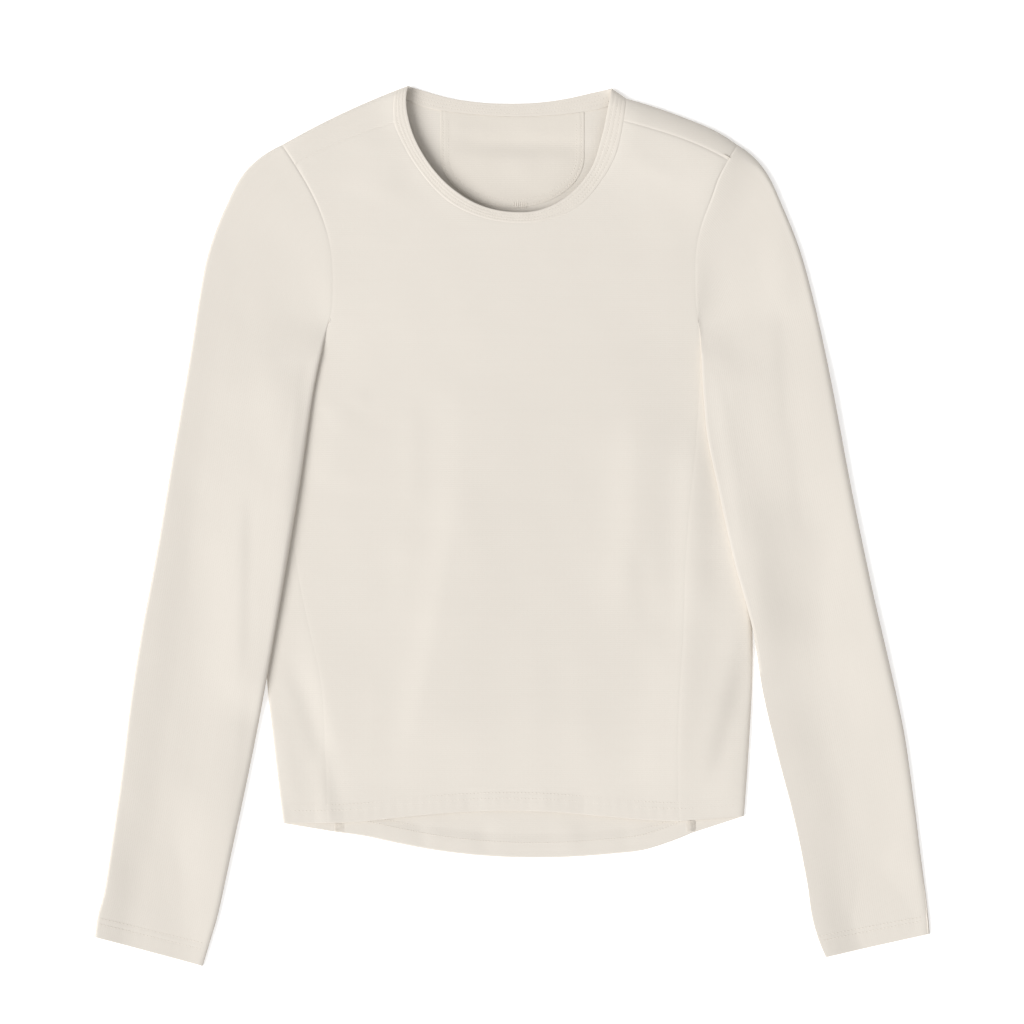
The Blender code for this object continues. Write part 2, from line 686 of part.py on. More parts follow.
def add_cloth(name, grids, wall, colour, ring=False):
    mesh = bmesh.new()
    for grid in grids:
        add_grid(mesh, grid, ring)
    bmesh.ops.remove_doubles(mesh, verts=mesh.verts, dist=WELD_DISTANCE * MM)
    bmesh.ops.recalc_face_normals(mesh, faces=mesh.faces)
    highest = max(mesh.faces, key=lambda face: face.calc_center_median().z)
    if highest.normal.z < 0:
        bmesh.ops.reverse_faces(mesh, faces=mesh.faces)
    data = bpy.data.meshes.new(name)
    mesh.to_mesh(data)
    mesh.free()
    data.shade_smooth()
    data.materials.append(cloth_material(name + "_cloth", colour))
    piece = bpy.data.objects.new(name, data)
    bpy.context.scene.collection.objects.link(piece)
    solidify = piece.modifiers.new("wall", "SOLIDIFY")
    solidify.thickness = wall * MM
    solidify.offset = -1.0
    solidify.use_even_offset = False
    return piece


def clear_scene():
    for item in list(bpy.data.objects):
        bpy.data.objects.remove(item, do_unlink=True)


def build_garment():
    clear_scene()
    lines = seam_lines()
    add_cloth("front_panel", [front_panel_grid(lines)], KNIT_WALL, IVORY)
    add_cloth("back_panel", back_panel_grids(lines), KNIT_WALL, IVORY)
    for side in ("left", "right"):
        add_cloth("side_panel_" + side, [side_panel_grid(lines, side)], KNIT_WALL, IVORY)
        rings = sleeve_grid(lines, side)
        upper = trimmed(rings[: ELBOW_RING + 1], last_row=True)
        lower = trimmed(rings[ELBOW_RING:], first_row=True)
        add_cloth("sleeve_" + side + "_upper", [upper], KNIT_WALL, IVORY, ring=True)
        add_cloth("sleeve_" + side + "_lower", [lower], KNIT_WALL, IVORY, ring=True)
    add_cloth("neckband", [neckband_grid(lines)], BINDING_WALL, IVORY_BINDING, ring=True)
    add_cloth("back_neck_patch", [back_neck_patch_grid()], PATCH_WALL, IVORY_PATCH)


build_garment()
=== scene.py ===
import bpy
import numpy as np
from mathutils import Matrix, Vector


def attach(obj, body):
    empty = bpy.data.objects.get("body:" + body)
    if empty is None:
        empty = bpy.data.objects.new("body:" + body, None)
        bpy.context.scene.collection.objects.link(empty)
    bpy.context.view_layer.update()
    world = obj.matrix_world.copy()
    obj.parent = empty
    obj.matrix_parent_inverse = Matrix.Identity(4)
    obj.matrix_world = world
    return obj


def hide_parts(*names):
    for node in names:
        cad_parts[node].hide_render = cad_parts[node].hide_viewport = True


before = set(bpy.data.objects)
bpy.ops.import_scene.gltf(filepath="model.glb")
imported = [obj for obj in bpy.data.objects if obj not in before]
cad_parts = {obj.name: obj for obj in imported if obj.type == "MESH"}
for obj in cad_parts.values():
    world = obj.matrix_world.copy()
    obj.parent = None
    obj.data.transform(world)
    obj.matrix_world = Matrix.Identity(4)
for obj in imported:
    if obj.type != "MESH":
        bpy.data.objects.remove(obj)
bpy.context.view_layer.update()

# Long-sleeved thermal top laid flat. All tables are in millimetres, x across the chest, y towards the
# neck and z up off the surface, and the meshes are written in metres.
mm = 0.001

# How the top lies, shared by all of its pieces.
lay = {
    "foldRound": {"left": 5.0, "right": 13.0},     # how far a shoulder fold rounds in from its outline
    "sleeveRound": {"outer": {"left": 2.2, "right": 8.0}, "inner": {"left": 4.6, "right": 0.3}},
    "outerRound": {            # y and radius down the sleeve's outer fold
        "left": ((-400, 2.2), (292, 2.2), (312.5, 5.0)),
        "right": ((-400, 6.4), (60, 6.4), (200, 4.4), (278, 2.4), (296, 4.0), (312.5, 13.0)),
    },
    "sideRound": {"left": 2.0, "right": 5.0},
    "sleeveHeight": {          # y and height
        "outer": ((40, 8.0), (130, 6.4)),
        "inner": {
            "left": ((40, 6.0), (130, 4.6)),
            "right": ((-180, 8.0), (-60, 4.8), (20, 3.7), (130, 3.6)),
        },
        "cuff": 6.0,
    },
    "leastHeight": 3.4,
    "leastInner": 0.12,        # no inner face comes nearer to the surface that the top lies on
    "settleLength": 60.0,      # the shoulders are flatter than the chest over this length
    "hemDrop": 3.4,            # how far the front sinks onto the back at its hem
    "hemDropLength": 80.0,
    "seamGap": -0.05,          # neighbours overlap by a hair, so that no light shows between them
    "sleeveClearance": 0.3,
    "underarmReach": 25.0,     # the sleeve's under layer climbs onto the body over this width
    "climb": {                 # y, and the same for its upper layer
        "left": ((-60, 62), (20, 76), (80, 95), (130, 110)),
        "right": ((-60, 62), (20, 80), (80, 130), (130, 170)),
    },
    "underarmMargin": 3.0,
    "liftStart": 170.0,
    "liftEnd": 134.0,
    "topLiftStart": 176.0,
    "topLiftEnd": 110.0,
    "sidePanelTop": 167.5,
    "creaseFade": 0.28,        # share of its length over which a fold fades in and out
}

# Soft unevenness of each surface: seed, height and wavelength.
uneven = {
    "body": (3, 0.07, 42), "leftSleeve": (5, 0.08, 40), "rightSleeve": (6, 0.08, 40), "back": (8, 0.10, 30),
    "neckBand": (12, 0.05, 14),
}

bodySections = np.array([      # y, left fold, left seam, right seam, right fold
    (-242, -188, -152, 137, 190), (-184, -195, -153.5, 135.5, 194), (-121, -201.5, -158, 138, 197),
    (-90, -202.5, -165, 140, 197), (-61, -202.5, -171.5, 141, 196), (-30, -201.5, -177, 142, 194.5),
    (13, -197.5, -178.5, 145, 191), (62, -190.5, -170, 150, 185), (91, -183, -163.5, 152, 180),
    (120, -174, -159, 154, 172), (144, -162, -155, 154, 162), (170, -148.5, -148.5, 152, 151.5),
], float)

bodyHeights = np.array([       # y, left edge, right edge, height at the edge, height in the middle
    (-275, -188, 190, 4.2, 7.2), (-240, -188, 190, 4.2, 7.4), (-120, -202, 197, 4.2, 8.0),
    (0, -199, 192, 4.2, 8.4), (100, -181, 178, 4.2, 8.8), (150, -159, 160, 4.6, 9.2),
    (175, -148.5, 152, 6.2, 9.4), (250, -154, 156, 7.6, 9.8), (311, -189, 184, 7.8, 9.6),
    (365, -189, 184, 7.8, 9.4),
], float)

armholes = {
    "left": [(-189, 312.5), (-176.5, 293.5), (-166, 275.5), (-157, 256), (-149.5, 229.5), (-147.5, 210),
             (-147.5, 190), (-149, 170.5)],
    "right": [(184.5, 312.5), (177.5, 301), (169.5, 286), (163, 268), (156.5, 251), (152.5, 237),
              (150.5, 224), (150, 204), (150.5, 186), (152, 170.5)],
}
shoulderFolds = {
    "left": [(-189, 312.5), (-162.5, 327), (-125, 345), (-96, 357)],
    "right": [(184.5, 312.5), (171, 321.5), (139, 335.5), (93.5, 350.5)],
}
forwardSeams = {
    "left": [(-177, 297), (-159.5, 307), (-141, 315.5), (-121.5, 323), (-97, 331)],
    "right": [(176.5, 300), (160.5, 308.5), (139, 317.5), (116, 325), (91, 332)],
}
neckFrontFree = [(-85.5, 361), (-87, 348), (-84, 329), (-71, 301), (-51, 278), (-26.5, 263), (-2, 257.5),
                 (22.5, 259), (44, 269.5), (63.5, 291), (73, 318), (79, 346), (81.5, 359)]
neckFrontSewn = [(-96, 357), (-97.5, 343), (-97, 331), (-92, 318), (-76, 291), (-51, 265), (-26.5, 253.5),
                 (4, 248.5), (31, 251.5), (55.5, 263), (72, 281.5), (83.5, 301), (91, 332), (93.5, 350.5)]
neckBackFree = [(-85.5, 361), (-71, 356.5), (-53, 351.5), (-26.5, 347.5), (-2.5, 346.5), (22.5, 347.5),
                (44, 350.5), (64, 355), (81.5, 359)]
neckBackSewn = [(-96, 357), (-79.5, 346.5), (-54.5, 340.5), (-26.5, 337.5), (-2.5, 336), (31, 337),
                (55.5, 339.5), (76, 343.5), (93.5, 350.5)]
frontHem = [(-152, -243.5), (-125, -242.5), (-96, -239.5), (-53.5, -235.5), (-6, -233.5), (31, -234.5),
            (73.5, -238), (109.5, -241), (137, -242)]
backHem = [(-143, -251.5), (-121.5, -254.5), (-96, -260), (-70, -265), (-31.5, -270), (3, -272),
           (48, -271.5), (81.5, -269), (107, -266), (127, -260), (147, -252)]
hemCorners = {"left": (-188, -244), "right": (190, -238)}

sleeveSections = {             # outline edge x, y, underarm edge x, y
    "left": np.array([
        (-189, 312.5, -149, 170.5), (-218.5, 291.5, -151.5, 161.5), (-236.5, 259, -154, 152),
        (-249.5, 224, -156.5, 141), (-256.5, 190, -159.5, 128), (-263, 148, -163.5, 107),
        (-272, 95, -168, 77), (-280.5, 46, -175, 28), (-291.5, -19.5, -186, -38),
        (-304, -85.5, -197.5, -104), (-313, -142.5, -208, -161), (-320, -199.5, -219.5, -218),
        (-327.5, -252.5, -231, -271), (-334.5, -298, -241, -317), (-340, -319, -248, -341),
        (-342.5, -337, -254, -361),
    ], float),
    "right": np.array([
        (184.5, 312.5, 152, 170.5), (207, 292, 153.5, 162), (223, 259, 154.5, 152),
        (236, 226, 155, 141), (246.5, 188, 155.5, 126), (256, 146, 157, 102),
        (265.5, 98, 160, 72), (275, 47, 169, 29), (286, -8, 181.5, -28),
        (298, -64, 196.5, -83), (310.5, -118, 205.5, -137), (321.5, -170, 217.5, -188),
        (329.5, -226, 231, -240), (335.5, -274, 241, -289), (340, -308, 246.5, -324),
        (342.5, -334.5, 257, -353.5),
    ], float),
}

# Folds: from x, y to x, y, how far the middle bends aside, half width before and after the line as it
# is crossed from left to right when it runs down, and rise (a trough is below zero).
bodyFolds = [
    (64, 338, 202, 277, 5, 40, 22, 4.2),           # along the right shoulder
    (-206, 304, -74, 362, 3, 7, 32, 2.0),         # along the left one
    (-94, 392, -12, 262, -20, 16, 12, 2.8),       # up to the neck on the left
    (-189, -94, -141, -250, 5, 9, 10, -1.1),
    (-158, -172, -148, -262, 0, 8, 9, 1.0),
    (-172, -66, -136, -218, 4, 11, 30, 0.75),
    (-193, -150, -178, -236, 0, 8, 9, 0.5),
    (-42, 48, -90, -218, 6, 17, 60, 2.05),
    (-40, 128, -38, -28, 0, 20, 60, 1.1),
    (-82, 110, -82, 6, 0, 10, 9, 0.36),
    (-130, 100, -152, 26, -3, 13, 30, 0.8),
    (-158, 90, -114, 108, 2, 9, 8, 0.5),
    (-89, 4, -87, -94, 2, 14, 22, 0.5),
    (105, 116, 91, -88, 4, 19, 34, 1.9),
    (103, -12, 113, -90, 0, 10, 10, -0.4),
    (150, 90, 151, -80, -1, 15, 15, 2.1),
    (151, -20, 138, -232, 2, 15, 34, 1.7),
    (131, -76, 120, -236, 0, 18, 30, 1.4),
    (184, -136, 178, -240, 0, 16, 14, 0.9),
    (203, -90, 162, -220, 0, 8, 10, -0.78),
    (187, -62, 152, -208, 3, 12, 8, 0.95),
    (182, 34, 199, -132, 0, 20, 45, 1.4),
    (12, -56, 18, -204, 4, 14, 22, 0.34),
    (52, -84, 60, -212, 3, 14, 20, 0.3),
    (-112, -110, -116, -212, 2, 10, 18, 0.32),
    (-100, 326, -113, 262, 3, 28, 18, 0.75),
    (92, 302, 140, 278, 3, 8, 8, 0.35),
    (126, 266, 132, 192, 3, 20, 16, 0.3),
    (-34, -214, -32, -246, 0, 7, 9, -0.3),
    (24, -212, 26, -246, 0, 8, 8, 0.28),
    (58, -214, 56, -246, 0, 7, 8, -0.3),
]
sleeveFolds = {
    "left": [
        (-230, 216, -311, -380, 2, 18, 42, -1.55),
        (-284, -210, -262, -420, 0, 38, 24, -2.3),
        (-312, -224, -318, -430, 0, 12, 16, -0.8),
        (-177, 152, -196, -96, 2, 19, 8, 1.5),
        (-224, 34, -227, -138, 1, 14, 6, 0.45),
        (-214, 42, -216, -134, 1, 6, 12, -0.5),
        (-224, -112, -240, -292, 2, 22, 9, 0.9),
        (-186, 298, -150, 238, 0, 18, 9, 1.0),
        (-196, 150, -204, 84, 3, 12, 20, 0.25),
        (-252, 96, -262, -30, 2, 14, 20, 0.3),
        (-256, -190, -262, -290, 2, 12, 16, 0.3),
    ],
    "right": [
        (216, 92, 249, -196, -2, 27, 44, -1.35),
        (244, -90, 314, -410, 0, 30, 66, -3.6),
        (222, 190, 228, 58, 0, 8, 18, -0.6),
        (232, 96, 240, -20, 0, 8, 20, -0.5),
        (164, 176, 212, -112, -4, 9, 14, 1.0),
        (238, 196, 316, -222, 6, 24, 16, 0.7),
        (310, -258, 345, -286, 0, 16, 14, 0.6),
        (214, 254, 224, 166, 3, 16, 10, 0.42),
        (166, 250, 168, 160, -3, 12, 20, -0.3),
        (268, -230, 282, -330, 2, 10, 16, 0.3),
    ],
}
# The back's inner face, which shows through the neck and below the front hem.
innerFolds = [
    (-54, 314, 76, 312, 1, 7, 7, -1.05),
    (-52, 299, 64, 298, 1, 13, 7, 0.85),
    (-52, 326, -16, 325, 0, 6, 6, 0.35),
    (-110, -246, -100, -274, 0, 7, 7, 0.4),
    (-76, -242, -72, -272, 0, 7, 6, -0.5),
    (-24, -240, -20, -282, 0, 8, 8, -0.4),
    (48, -240, 50, -282, 0, 12, 9, 0.5),
    (96, -242, 92, -278, 0, 7, 7, -0.35),
]


def cubic(knots, values, at):
    # Cubic spans through the rows of values. Each knot's slope is that of the parabola through it and
    # its neighbours.
    knots = np.asarray(knots, float)
    values = np.asarray(values, float)
    gaps = np.diff(knots)
    steep = np.diff(values, axis=0) / gaps[:, None]
    slope = np.empty_like(values)
    before, after = gaps[:-1, None], gaps[1:, None]
    slope[1:-1] = (steep[:-1] * after + steep[1:] * before) / (before + after)
    slope[0] = 2 * steep[0] - slope[1]
    slope[-1] = 2 * steep[-1] - slope[-2]
    at = np.clip(at, knots[0], knots[-1])
    span = np.clip(np.searchsorted(knots, at, "right") - 1, 0, len(gaps) - 1)
    gap = gaps[span][..., None]
    u = (at - knots[span])[..., None] / gap
    start = values[span] * (1 + 2 * u) * (1 - u) ** 2 + slope[span] * gap * u * (1 - u) ** 2
    return start + values[span + 1] * u**2 * (3 - 2 * u) + slope[span + 1] * gap * u**2 * (u - 1)


def lengthsAlong(path):
    # Running sum of the distances from point to point.
    return np.concatenate([[0.0], np.cumsum(np.linalg.norm(np.diff(path, axis=0), axis=1))])


def lengthOf(path):
    return lengthsAlong(path)[-1]


def gridLengths(grid, axis):
    # The same along the rows or the columns of a grid.
    first = np.take(grid, [0], axis=axis)
    return np.cumsum(np.linalg.norm(np.diff(grid, axis=axis, prepend=first), axis=-1), axis=axis)


def unit(vectors):
    # Each vector divided by its length.
    return vectors / np.linalg.norm(vectors, axis=-1, keepdims=True)


def smoothPath(points):
    # A cubic curve through the points, with a point about every millimetre.
    points = np.array(points, float)
    knots = lengthsAlong(points)
    return cubic(knots, points, np.linspace(0, knots[-1], int(knots[-1]) + 2))


def atDistances(path, distances):
    # Straight spans between the path's points, read off at distances from its start.
    lengths = lengthsAlong(path)
    columns = [np.interp(distances, lengths, path[:, axis]) for axis in range(path.shape[1])]
    return np.stack(columns, axis=-1)


def coarse(path, count=60):
    # The path in count even steps.
    return atDistances(path, np.linspace(0, lengthOf(path), count + 1))


def movedAside(path, distance):
    # The path moved square to itself, to the left as it runs.
    along = unit(np.gradient(path, axis=0))
    return path + np.stack([-along[:, 1], along[:, 0]], axis=-1) * distance


def distanceOf(path, point):
    # How far along the path its nearest point to this one is.
    nearest = np.argmin(np.linalg.norm(path - np.array(point, float), axis=1))
    return lengthsAlong(path)[nearest]


def ease(value):
    # 3v^2 - 2v^3 between 0 and 1.
    value = np.clip(value, 0, 1)
    return value * value * (3 - 2 * value)


def bell(distance, width):
    # exp(-(distance / width)^2).
    return np.exp(-((distance / width) ** 2))


def foldShare(distance, radius):
    # Quarter circle: 0 at the outline of a fold, 1 a radius in from it.
    inside = np.clip(1 - distance / radius, 0, 1)
    return np.sqrt(1 - inside**2)


def toPath(path, x, y):
    # Distance from each point to a polyline, its share of the way along it, and which side it is on: 1 to
    # the right of a line that runs down, -1 to the left.
    path = np.asarray(path, float)
    lengths = lengthsAlong(path)
    nearest = np.full(x.shape, 1e9)
    share = np.zeros(x.shape)
    beside = np.ones(x.shape)
    for number, (start, end) in enumerate(zip(path[:-1], path[1:])):
        step = end - start
        t = np.clip(((x - start[0]) * step[0] + (y - start[1]) * step[1]) / (step @ step), 0, 1)
        distance = np.hypot(x - start[0] - t * step[0], y - start[1] - t * step[1])
        closer = distance < nearest
        nearest = np.where(closer, distance, nearest)
        share = np.where(closer, (lengths[number] + t * np.linalg.norm(step)) / lengths[-1], share)
        turned = step[0] * (y - start[1]) - step[1] * (x - start[0])
        beside = np.where(closer, np.where(turned < 0, -1, 1), beside)
    return nearest, share, beside


def relief(folds, x, y):
    # Each fold is a bell across its curve, rise * exp(-(distance / half width)^2), with a half width of
    # its own on either side, and fades at its ends.
    total = np.zeros(x.shape)
    s = np.linspace(0, 1, 9)[:, None]
    for x0, y0, x1, y1, bend, before, after, rise in folds:
        step = np.array([x1 - x0, y1 - y0], float)
        aside = np.array([-step[1], step[0]]) / np.linalg.norm(step)
        path = np.array([x0, y0]) + s * step + 4 * s * (1 - s) * bend * aside
        distance, share, beside = toPath(path, x, y)
        width = np.where(beside < 0, before, after)
        total += rise * bell(distance, width) * ease(np.minimum(share, 1 - share) / lay["creaseFade"])
    return total


def undulation(x, y, seed, height, wavelength):
    # The sum of twelve sine waves of random direction, length and phase.
    rng = np.random.default_rng(seed)
    total = np.zeros(x.shape)
    turns, stretches, phases = rng.uniform(0, np.pi, 12), rng.uniform(0.7, 1.9, 12), rng.uniform(0, 6.28, 12)
    for turn, stretch, phase in zip(turns, stretches, phases):
        across = x * np.cos(turn) + y * np.sin(turn)
        total += np.sin(2 * np.pi * across / (wavelength * stretch) + phase)
    return height * total / 3.5


def shoulderLine(x):
    # Height on the sheet of the shoulder folds at x, in straight spans.
    return np.interp(x, *np.array(shoulderFolds["left"] + shoulderFolds["right"][::-1]).T)


def hemLine(x):
    # The same for the front hem.
    return np.interp(x, *np.array([hemCorners["left"]] + frontHem + [hemCorners["right"]]).T)


def bodyTop(x, y):
    # Outer height of the upper layer: edge + (middle - edge) * (1 - across^2), flatter at the shoulders
    # and sunk towards the hem, plus the folds.
    left, right, edge, middle = np.moveaxis(cubic(bodyHeights[:, 0], bodyHeights[:, 1:], y), -1, 0)
    across = np.clip(np.where(x < 0, x / left, x / right), 0, 1)
    settle = ease((shoulderLine(x) - y) / lay["settleLength"])
    height = edge + (middle - edge) * (1 - across**2) * settle
    nearHem = ease(1 - (y - hemLine(x)) / lay["hemDropLength"])
    height -= lay["hemDrop"] * (1 - across**2) * nearHem
    creased = relief(bodyFolds, x, y) + undulation(x, y, *uneven["body"])
    return np.maximum(height + creased, lay["leastHeight"])


def bodyOutline(side, y):
    # The body's fold at y, from its sections.
    column = 1 if side == "left" else 4
    return cubic(bodySections[:, 0], bodySections[:, column:column + 1], y)[..., 0]


def sleeveLift(side, x, y, reach, start, end):
    # How high a layer of the sleeve stands: nothing beside the body, just clear of it above it.
    outline = bodyOutline(side, y)
    inside = x - outline if side == "left" else outline - x
    over = ease((inside + reach) / (reach - lay["underarmMargin"]))
    return (bodyTop(x, y) + lay["sleeveClearance"]) * over * ease((start - y) / (start - end))


def coons(top, bottom, left, right, fade=1):
    # Plan grid inside four edges, rows from the top edge to the bottom one. Each side edge pulls on the
    # grid by its distance from the straight rows, times (1 - share across)^fade.
    s = sum(lengthsAlong(edge) / lengthOf(edge) for edge in (top, bottom))[None, :, None] / 2
    t = sum(lengthsAlong(edge) / lengthOf(edge) for edge in (left, right))[:, None, None] / 2
    ruled = (1 - t) * top[None] + t * bottom[None]
    toLeft = left[:, None] - ruled[:, :1]
    toRight = right[:, None] - ruled[:, -1:]
    return ruled + (1 - s) ** fade * toLeft + s**fade * toRight


def withHeight(plan, height):
    # Points in plan and their heights as points in space.
    return np.concatenate([plan, height[..., None]], axis=-1)


def drawnBack(grid, firstRow=False, lastRow=False, firstColumn=False, lastColumn=False):
    # The named edges move in by half a seam gap, square to the edge.
    drawn = grid.copy()
    wanted = ((firstRow, 0, 0, 1), (lastRow, 0, -1, -2), (firstColumn, 1, 0, 1), (lastColumn, 1, -1, -2))
    for trim, axis, edge, inner in wanted:
        if trim:
            lines = np.moveaxis(grid, axis, 0)
            along = unit(np.gradient(lines[edge], axis=0))
            step = lines[inner] - lines[edge]
            step -= along * (step * along).sum(axis=-1, keepdims=True)
            step *= lay["seamGap"] / 2 / np.linalg.norm(step, axis=-1, keepdims=True)
            np.moveaxis(drawn, axis, 0)[edge] += step
    return drawn


def gridFaces(rows, columns, ring=False, present=None):
    # Squares between neighbouring points, numbered row by row, where all four points are present.
    number = np.arange(rows * columns).reshape(rows, columns)
    here = number if ring else number[:, :-1]
    beside = np.roll(number, -1, axis=1) if ring else number[:, 1:]
    faces = np.stack([here[:-1], here[1:], beside[1:], beside[:-1]], axis=-1).reshape(-1, 4)
    if present is not None:
        faces = faces[present.reshape(-1)[faces].all(axis=1)]
    return faces


def pointNormals(points, faces):
    # Each point's normal is the sum of its faces' cross products of diagonals.
    first = points[faces[:, 2]] - points[faces[:, 0]]
    second = points[faces[:, 3]] - points[faces[:, 1]]
    crossed = np.cross(first, second)
    normals = np.zeros_like(points)
    for corner in range(4):
        np.add.at(normals, faces[:, corner], crossed)
    size = np.linalg.norm(normals, axis=1, keepdims=True)
    return normals / np.maximum(size, 1e-9)              # a point with no face keeps no normal


def meshFrom(name, points, faces, uv, material):
    # A mesh object from arrays in millimetres: faces of four corners, and a UV point in metres for each.
    used = np.unique(faces)
    renumber = np.zeros(len(points), int)
    renumber[used] = np.arange(len(used))
    points, faces, uv = points[used] * mm, renumber[faces], uv[used] * mm
    data = bpy.data.meshes.new(name)
    data.vertices.add(len(points))
    data.vertices.foreach_set("co", points.astype(np.float32).ravel())
    data.loops.add(faces.size)
    data.loops.foreach_set("vertex_index", faces.astype(np.int32).ravel())
    data.polygons.add(len(faces))
    data.polygons.foreach_set("loop_start", np.arange(0, faces.size, 4, dtype=np.int32))
    data.polygons.foreach_set("loop_total", np.full(len(faces), 4, np.int32))
    data.update(calc_edges=True)
    layer = data.uv_layers.new(name="cloth")
    layer.data.foreach_set("uv", uv[faces.ravel()].astype(np.float32).ravel())
    data.shade_smooth()
    data.validate()
    data.materials.append(material)
    piece = bpy.data.objects.new(name, data)
    bpy.context.scene.collection.objects.link(piece)
    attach(piece, "root")
    return piece


def clothShell(name, outer, wall, uv, material, faces, innerRelief=None):
    # A closed shell: the outer face, an inner face at outer - wall * normal, and rims round the edges.
    outer = outer.reshape(-1, 3)
    uv = uv.reshape(-1, 2)
    outer = np.nan_to_num(outer)
    wall = np.zeros(len(outer)) + wall
    normals = pointNormals(outer, faces)
    if normals[outer[:, 2] > 0.6 * outer[:, 2].max(), 2].sum() < 0:      # what lies on top faces up
        faces = faces[:, ::-1]
        normals = -normals
    inner = outer - normals * wall.reshape(-1, 1)
    if innerRelief is not None:
        inner[:, 2] += innerRelief.reshape(-1)
    inner[:, 2] = np.maximum(inner[:, 2], lay["leastInner"])
    count = len(outer)
    edges = np.concatenate([faces[:, [0, 1]], faces[:, [1, 2]], faces[:, [2, 3]], faces[:, [3, 0]]])
    key = np.sort(edges, axis=1) @ np.array([count, 1])
    unused, first, times = np.unique(key, return_index=True, return_counts=True)
    border = edges[first[times == 1]]
    rims = np.stack([border[:, 1], border[:, 0], border[:, 0] + count, border[:, 1] + count], axis=-1)
    allFaces = np.concatenate([faces, faces[:, ::-1] + count, rims])
    piece = meshFrom(name, np.concatenate([outer, inner]), allFaces, np.concatenate([uv, uv]), material)
    piece.data.set_sharp_from_angle(angle=np.radians(50))
    return piece


print("folds and seams laid out")


edgeMarks = (0, 0.35, 0.8, 1.4, 2.2)     # extra rows close to a seam or hem, at these distances from it


def marksAlong(start, end, count, crowdStart=(), crowdEnd=()):
    # Distances from start to end in count even steps, with extra ones near either end as well.
    first = [start + value for value in crowdStart]
    last = [end - value for value in crowdEnd][::-1]
    even = np.linspace(first[-1] if first else start, last[0] if last else end, count + 1)
    return np.concatenate([first[:-1], even, last[1:]])


def foldMarks(radius, spans=7):
    # Distances in from a fold's outline at equal angles round its quarter circle.
    return radius * (1 - np.cos(np.linspace(0, np.pi / 2, spans + 1)))


def sideLines(side, count):
    # Front seam, back seam and fold of a side panel, from its point under the arm to the hem.
    y = marksAlong(-lay["sidePanelTop"], -bodySections[0, 0], count, crowdEnd=edgeMarks) * -1
    rows = cubic(bodySections[:, 0], bodySections[:, 1:], y)
    foldX, seamX = (rows[:, 0], rows[:, 1]) if side == "left" else (rows[:, 3], rows[:, 2])
    down = ((y[0] - y) / (y[0] - y[-1])) ** 2
    ends = (frontHem[0], backHem[0]) if side == "left" else (frontHem[-1], backHem[-1])
    front = np.stack([seamX, y], axis=-1)
    fold = np.stack([foldX, y], axis=-1)
    pairs = ((front, ends[0]), (front, ends[1]), (fold, hemCorners[side]))
    return [line + down[:, None] * (np.array(end) - line[-1]) for line, end in pairs]


def sideSeams():
    # The curves that the pieces meet along, and the points on them that each piece's sides use.
    seams = {}
    frontSewn = smoothPath(neckFrontSewn)
    neckLength = lengthOf(frontSewn)
    for side in ("left", "right"):
        armhole = smoothPath(armholes[side])
        length = lengthOf(armhole)
        forward = smoothPath(forwardSeams[side])
        toForward = distanceOf(armhole, forward[0])
        toNeck = distanceOf(frontSewn, forward[-1])
        forward[0] = atDistances(armhole, toForward)
        forward[-1] = atDistances(frontSewn, toNeck)
        sideFront, sideBack, sideFold = sideLines(side, 150)
        seams[side] = {
            "armhole": armhole, "length": length, "toForward": toForward, "forward": forward,
            "toNeck": toNeck if side == "left" else neckLength - toNeck,
            "shoulder": smoothPath(shoulderFolds[side]),
            "sideFront": sideFront, "sideBack": sideBack, "sideFold": sideFold,
        }
    return seams


seams = sideSeams()
neckFrontPath = smoothPath(neckFrontSewn)
neckBackPath = smoothPath(neckBackSewn)
frontHemPath = smoothPath([hemCorners["left"]] + frontHem + [hemCorners["right"]])
backHemPath = smoothPath([hemCorners["left"]] + backHem + [hemCorners["right"]])


knit = {
    "ivory": (0.718, 0.671, 0.607),
    "shade": (0.700, 0.653, 0.589),
    "roughness": 0.92,
    "sheen": 0.18,
    "rib": 1.75,             # millimetres from rib to rib
    "wale": 1.05,            # width of a stitch column
    "course": 0.82,          # height of a stitch
    "bump": 0.21,
    "bumpDepth": 0.0003,     # metres
    "heights": {"vee": 0.22, "column": 0.30, "rib": 0.26, "fuzz": 0.40},       # shares of the bump
    "tones": {"cloud": 0.55, "yarn": 0.65, "rib": -0.06, "vee": -0.05},        # shares of ivory in the shade
}
threadLook = {
    "light": (0.79, 0.737, 0.665), "dark": (0.70, 0.645, 0.575), "bump": 0.5, "bumpDepth": 0.00012,
    "roughness": 0.6,
}


def linked(tree, kind, inputs=None, **values):
    # A node with its properties set and its inputs linked or filled in.
    node = tree.nodes.new(kind)
    for key, value in values.items():
        setattr(node, key, value)
    for key, value in (inputs or {}).items():
        if isinstance(value, bpy.types.NodeSocket):
            tree.links.new(value, node.inputs[key])
        else:
            node.inputs[key].default_value = value
    return node


